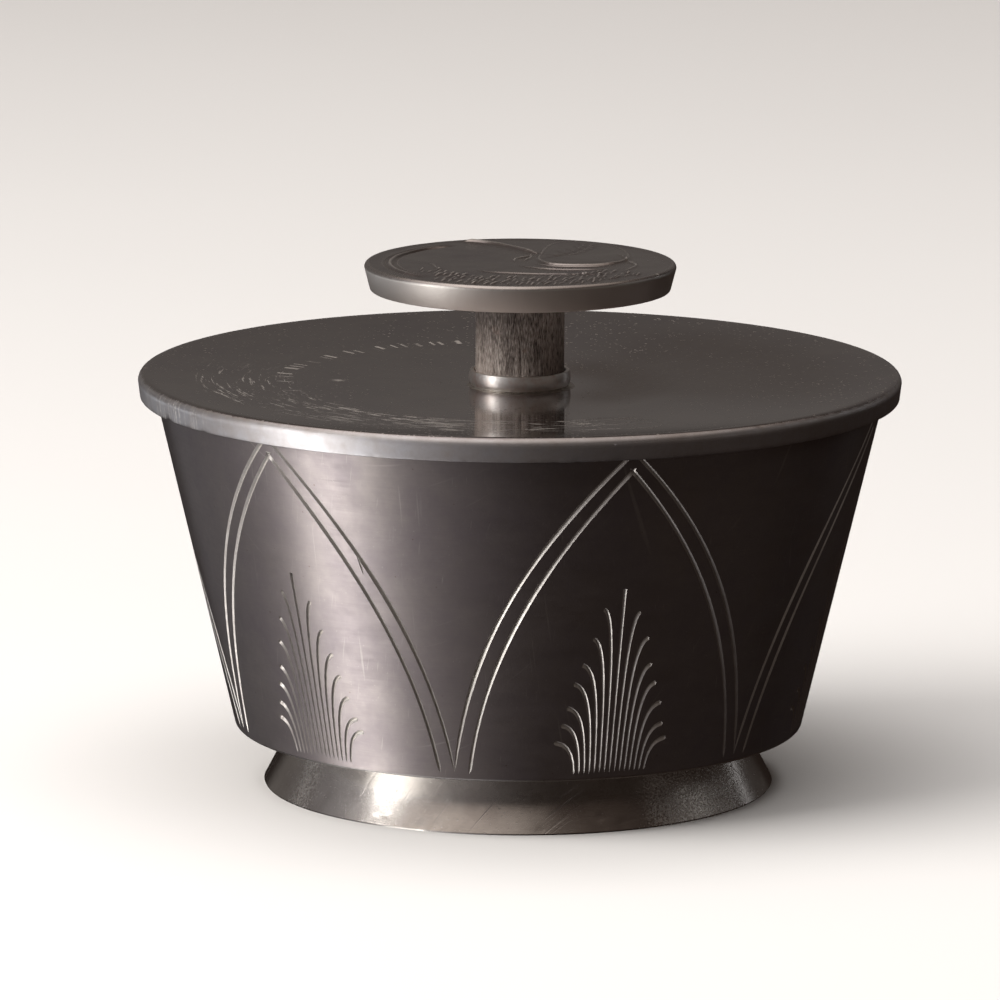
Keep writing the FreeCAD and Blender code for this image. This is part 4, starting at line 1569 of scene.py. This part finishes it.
def facing(azimuth, elevation):
    """Direction from the bowl, by azimuth from the front towards +X and height, in degrees."""
    turn = math.radians(azimuth)
    rise = math.radians(elevation)
    return Vector((math.sin(turn) * math.cos(rise), -math.cos(turn) * math.cos(rise),
                   math.sin(rise)))


def soft_light(name, azimuth, elevation, distance, size, brightness, tint, seen_by):
    """A rectangular lamp that looks at the bowl, for its metal, its matt surfaces or both."""
    lamp = bpy.data.lights.new(name, "AREA")
    lamp.shape = "RECTANGLE"
    lamp.size, lamp.size_y = size
    lamp.energy = brightness * math.pi * size[0] * size[1]
    lamp.color = tint
    holder = bpy.data.objects.new(name, lamp)
    bpy.context.scene.collection.objects.link(holder)
    towards = facing(azimuth, elevation)
    holder.location = Vector((0, 0, 0.06)) + towards * distance
    holder.rotation_mode = "QUATERNION"
    holder.rotation_quaternion = towards.to_track_quat("Z", "Y")
    holder.visible_glossy = seen_by != "matt"
    holder.visible_diffuse = seen_by != "metal"
    return holder


def build_floor(material):
    """A pale floor that sweeps up into a backdrop behind the bowl."""
    half = 4000.0
    bend = 1000.0
    back = 3000.0
    curve = arc((back, bend), bend, -90.0, 0.0, 16)
    side_view = [(-half, 0.0), *curve, (back + bend, 3000.0)]
    points = [(side, y, z) for y, z in side_view for side in (-half, half)]
    faces = [[2 * k, 2 * k + 1, 2 * k + 3, 2 * k + 2] for k in range(len(side_view) - 1)]
    floor = new_mesh("floor", points, faces, material)
    floor.visible_glossy = False
    floor.visible_shadow = False
    return floor


def build_world():
    """The surroundings that the metal mirrors: a dark room with a dim grey wall behind."""
    world = bpy.data.worlds.new("surroundings")
    world.use_nodes = True
    bpy.context.scene.world = world
    tree = world.node_tree
    where = place(tree, "TexCoord").outputs["Generated"]
    right, behind, up = place(tree, "SeparateXYZ", {0: where}).outputs

    def edge(value, start, end, first=0.0, last=1.0):
        return remap(tree, value, start, end, first, last, smooth=True)

    course = place(tree, "VectorMath", {0: stretch(tree, where, (1.0, 1.0, 0.0))},
                   operation="NORMALIZE").outputs[0]
    towards_key = place(tree, "VectorMath", {0: course, 1: facing(KEY_SIDE, 0.0)},
                        operation="DOT_PRODUCT").outputs["Value"]
    towards_key = math_node(tree, "MAXIMUM", towards_key, 0.0)
    glow = times(tree, math_node(tree, "POWER", towards_key, 3.0), 0.85)
    near_key = times(tree, math_node(tree, "POWER", towards_key, 18.0), 0.38)
    wall = times(tree, edge(up, -0.03, 0.06), edge(behind, -0.1, 0.75),
                 edge(right, 0.15, 0.55, 1.0, 0.25))
    front = times(tree, edge(behind, 0.3, -0.4), edge(up, -0.30, -0.17), edge(up, 0.45, 0.28))
    far_side = mix(tree, edge(up, -0.08, 0.12), opaque((0.058, 0.046, 0.040)),
                   opaque((0.110, 0.096, 0.087)))
    ceiling = mix(tree, math_node(tree, "POWER", towards_key, 1.3),
                  opaque((0.06, 0.045, 0.038)), opaque((0.80, 0.70, 0.63)))
    overhead = mix(tree, edge(right, 0.45, -0.45), opaque((0.42, 0.36, 0.32)),
                   opaque((1.25, 1.15, 1.08)))
    tone = opaque((0.014, 0.009, 0.007))
    for mask, light in ((wall, opaque((0.122, 0.110, 0.102))), (front, far_side),
                        (glow, opaque((0.34, 0.32, 0.33))),
                        (near_key, opaque((1.0, 0.96, 0.95))),
                        (edge(up, 0.47, 0.72), ceiling), (edge(up, 0.66, 0.88), overhead)):
        tone = mix(tree, mask, tone, light)
    tree.links.new(tone, tree.nodes["Background"].inputs["Color"])


def build_camera():
    """The camera: a long lens looking down a little on the bowl from the front."""
    data = bpy.data.cameras.new("camera")
    data.sensor_width = 36.0
    data.lens = 286.8
    data.clip_end = 20.0
    data.dof.use_dof = False
    holder = bpy.data.objects.new("camera", data)
    bpy.context.scene.collection.objects.link(holder)
    holder.location = (0.00302, -1.5431, 0.34905)
    aside, down, roll = 0.00442, 0.1876, 0.0041
    look = (Matrix.Rotation(aside, 3, "Z") @ Matrix.Rotation(math.pi / 2 - down, 3, "X")
            @ Matrix.Rotation(roll, 3, "Z"))
    holder.rotation_mode = "QUATERNION"
    holder.rotation_quaternion = look.to_quaternion()
    bpy.context.scene.camera = holder
    return holder


# ---------------------------------------------------------------------------------------------
# Operators
# ---------------------------------------------------------------------------------------------

class BuildWall(bpy.types.Operator):
    """Build the engraved wall of the bowl"""
    bl_idname = "sugar_bowl.wall"
    bl_label = "Engraved wall"

    def execute(self, context):
        """Build the wall from its sizes."""
        build_wall(context.scene.bowl_sizes, finish(satin_wall), finish(engraved_cut))
        return {"FINISHED"}


class BuildFloorAndFoot(bpy.types.Operator):
    """Finish the bowl's floor and its foot ring"""
    bl_idname = "sugar_bowl.floor_and_foot"
    bl_label = "Floor and foot"

    def execute(self, context):
        """Dress the floor, and turn the foot ring's section with its knocks."""
        sizes = context.scene.bowl_sizes
        dress_node("bowl_floor", finish(satin_wall))
        points, faces = lathe(foot_outline(sizes), 540, wobble=foot_wear(sizes))
        new_piece("foot_ring_worn", points, faces, "bowl",
                  finish(polished_foot), ("foot_ring",))
        return {"FINISHED"}


class BuildLid(bpy.types.Operator):
    """Build the worn lid and finish its locating ring"""
    bl_idname = "sugar_bowl.lid"
    bl_label = "Lid"

    def execute(self, context):
        """Turn the lid's section with its dents, and dress the ring under it."""
        sizes = context.scene.lid_sizes
        points, faces = lathe(lid_outline(sizes), 720, wobble=lid_wear(sizes))
        new_piece("lid_shell_worn", points, faces, "lid", finish(worn_lid),
                  ("lid_shell",))
        dress_node("lid_bezel", finish(satin_wall))
        return {"FINISHED"}


class BuildKnob(bpy.types.Operator):
    """Build the knob: the cast disc, the grained stem and the collar"""
    bl_idname = "sugar_bowl.knob"
    bl_label = "Knob"

    def execute(self, context):
        """Build the disc and the stem, and dress the collar."""
        sizes = context.scene.knob_sizes
        build_disc(sizes, finish(cast_disc))
        points, faces = lathe(stem_outline(sizes), 300, wobble=stem_grain(sizes.grain / MM))
        new_piece("knob_stem_grained", points, faces, "lid",
                  finish(fibrous_wood), ("knob_stem",))
        points, faces = lathe(collar_outline(sizes), 240)
        new_piece("knob_collar_rolled", points, faces, "lid",
                  finish(polished_collar), ("knob_collar",))
        return {"FINISHED"}


class BuildFastening(bpy.types.Operator):
    """Build the stud with its thread and finish the nut and the washer"""
    bl_idname = "sugar_bowl.fastening"
    bl_label = "Stud, nut and washer"

    def execute(self, context):
        """Cut the thread, and dress the nut and the washer."""
        points, faces = threaded_stud(context.scene.knob_sizes)
        new_piece("knob_stud_threaded", points, faces, "lid", finish(turned_brass),
                  ("knob_stud",))
        for node in ("knob_nut", "knob_washer"):
            dress_node(node, finish(turned_brass))
        return {"FINISHED"}


class BuildSolder(bpy.types.Operator):
    """Lay the beads of solder at the joints"""
    bl_idname = "sugar_bowl.solder"
    bl_label = "Solder"

    def execute(self, context):
        """Lay a bead round the collar, the floor, the foot ring and the locating ring."""
        bowl = context.scene.bowl_sizes
        lid = context.scene.lid_sizes
        knob = context.scene.knob_sizes

        def swell(turns):
            return 0.7 * np.exp(-((turns - math.radians(62.0)) / 0.55) ** 2)

        inside = Cone(bowl).radius(FLOOR_TOP) - bowl.sheet / MM
        ring = (lid.bezel - lid.bezel_sheet) / MM
        beads = (
            ("collar_solder", "lid", solder_bead(knob.collar / MM - 0.6, LID_MIDDLE, 1.0, 0.45,
                                                 51, swell)),
            ("bezel_solder", "lid", solder_bead(ring, MOUTH, -0.9, -0.9, 53)),
            ("floor_solder", "bowl", solder_bead(inside, FLOOR_TOP, -1.3, 1.1, 55)),
            ("foot_solder", "bowl", solder_bead(bowl.foot_neck / MM, FOOT_TOP, 1.2, -1.0, 57)))
        for name, body, (points, faces) in beads:
            new_piece(name, points, faces, body, finish(soft_solder))
        return {"FINISHED"}


class BuildStage(bpy.types.Operator):
    """Set the floor, the lamps, the surroundings and the camera"""
    bl_idname = "sugar_bowl.stage"
    bl_label = "Stage"

    def execute(self, context):
        """Build the stage."""
        build_floor(finish(plain_floor))
        build_world()
        warm = (1.0, 0.975, 0.945)
        cool = (0.95, 0.97, 1.0)
        soft_light("key card", KEY_SIDE, -12.0, 1.4, (0.46, 2.52), 2.85, warm, "metal")
        soft_light("side card", -116.0, -9.0, 1.5, (1.6, 0.22), 0.74, cool, "metal")
        soft_light("window card", 100.0, 27.0, 1.5, (0.8, 0.35), 0.20, warm, "metal")
        soft_light("edge strip", 127.0, 14.0, 1.5, (0.04, 0.6), 1.2, cool, "metal")
        soft_light("key", KEY_SIDE, 34.0, 1.7, (1.2, 1.2), 9.0, warm, "matt")
        soft_light("overhead", 10.0, 82.0, 2.2, (2.0, 2.0), 3.4, (1.0, 1.0, 1.0), "matt")
        build_camera()
        context.scene.view_settings.view_transform = "Standard"
        return {"FINISHED"}


class SugarBowlPanel(bpy.types.Panel):
    """The parts of the sugar bowl, in the order they are built"""
    bl_idname = "VIEW3D_PT_sugar_bowl"
    bl_label = "Sugar bowl"
    bl_space_type = "VIEW_3D"
    bl_region_type = "UI"
    bl_category = "Sugar bowl"

    def draw(self, context):
        """List the operators and the sizes."""
        for operator in OPERATORS:
            self.layout.operator(operator.bl_idname)
        for group in PROPERTIES:
            settings = getattr(context.scene, group)
            box = self.layout.box()
            for name in PROPERTIES[group].__annotations__:
                box.prop(settings, name)


PROPERTIES = {
    "bowl_sizes": BowlSizes,
    "lid_sizes": LidSizes,
    "knob_sizes": KnobSizes,
    "bowl_colours": FinishColours,
}
OPERATORS = (BuildStage, BuildWall, BuildFloorAndFoot, BuildLid, BuildKnob, BuildFastening,
             BuildSolder)


def register():
    """Register the add-on's classes and its settings."""
    for kind in (*PROPERTIES.values(), *OPERATORS, SugarBowlPanel):
        bpy.utils.register_class(kind)
    for name, kind in PROPERTIES.items():
        setattr(bpy.types.Scene, name, PointerProperty(type=kind))


def unregister():
    """Take the add-on's settings and classes away again."""
    for name in PROPERTIES:
        delattr(bpy.types.Scene, name)
    for kind in (SugarBowlPanel, *reversed(OPERATORS), *reversed(PROPERTIES.values())):
        bpy.utils.unregister_class(kind)


def main():
    """Build every piece in order."""
    register()
    for operator in OPERATORS:
        area, name = operator.bl_idname.split(".")
        getattr(getattr(bpy.ops, area), name)()


if __name__ == "__main__":
    main()
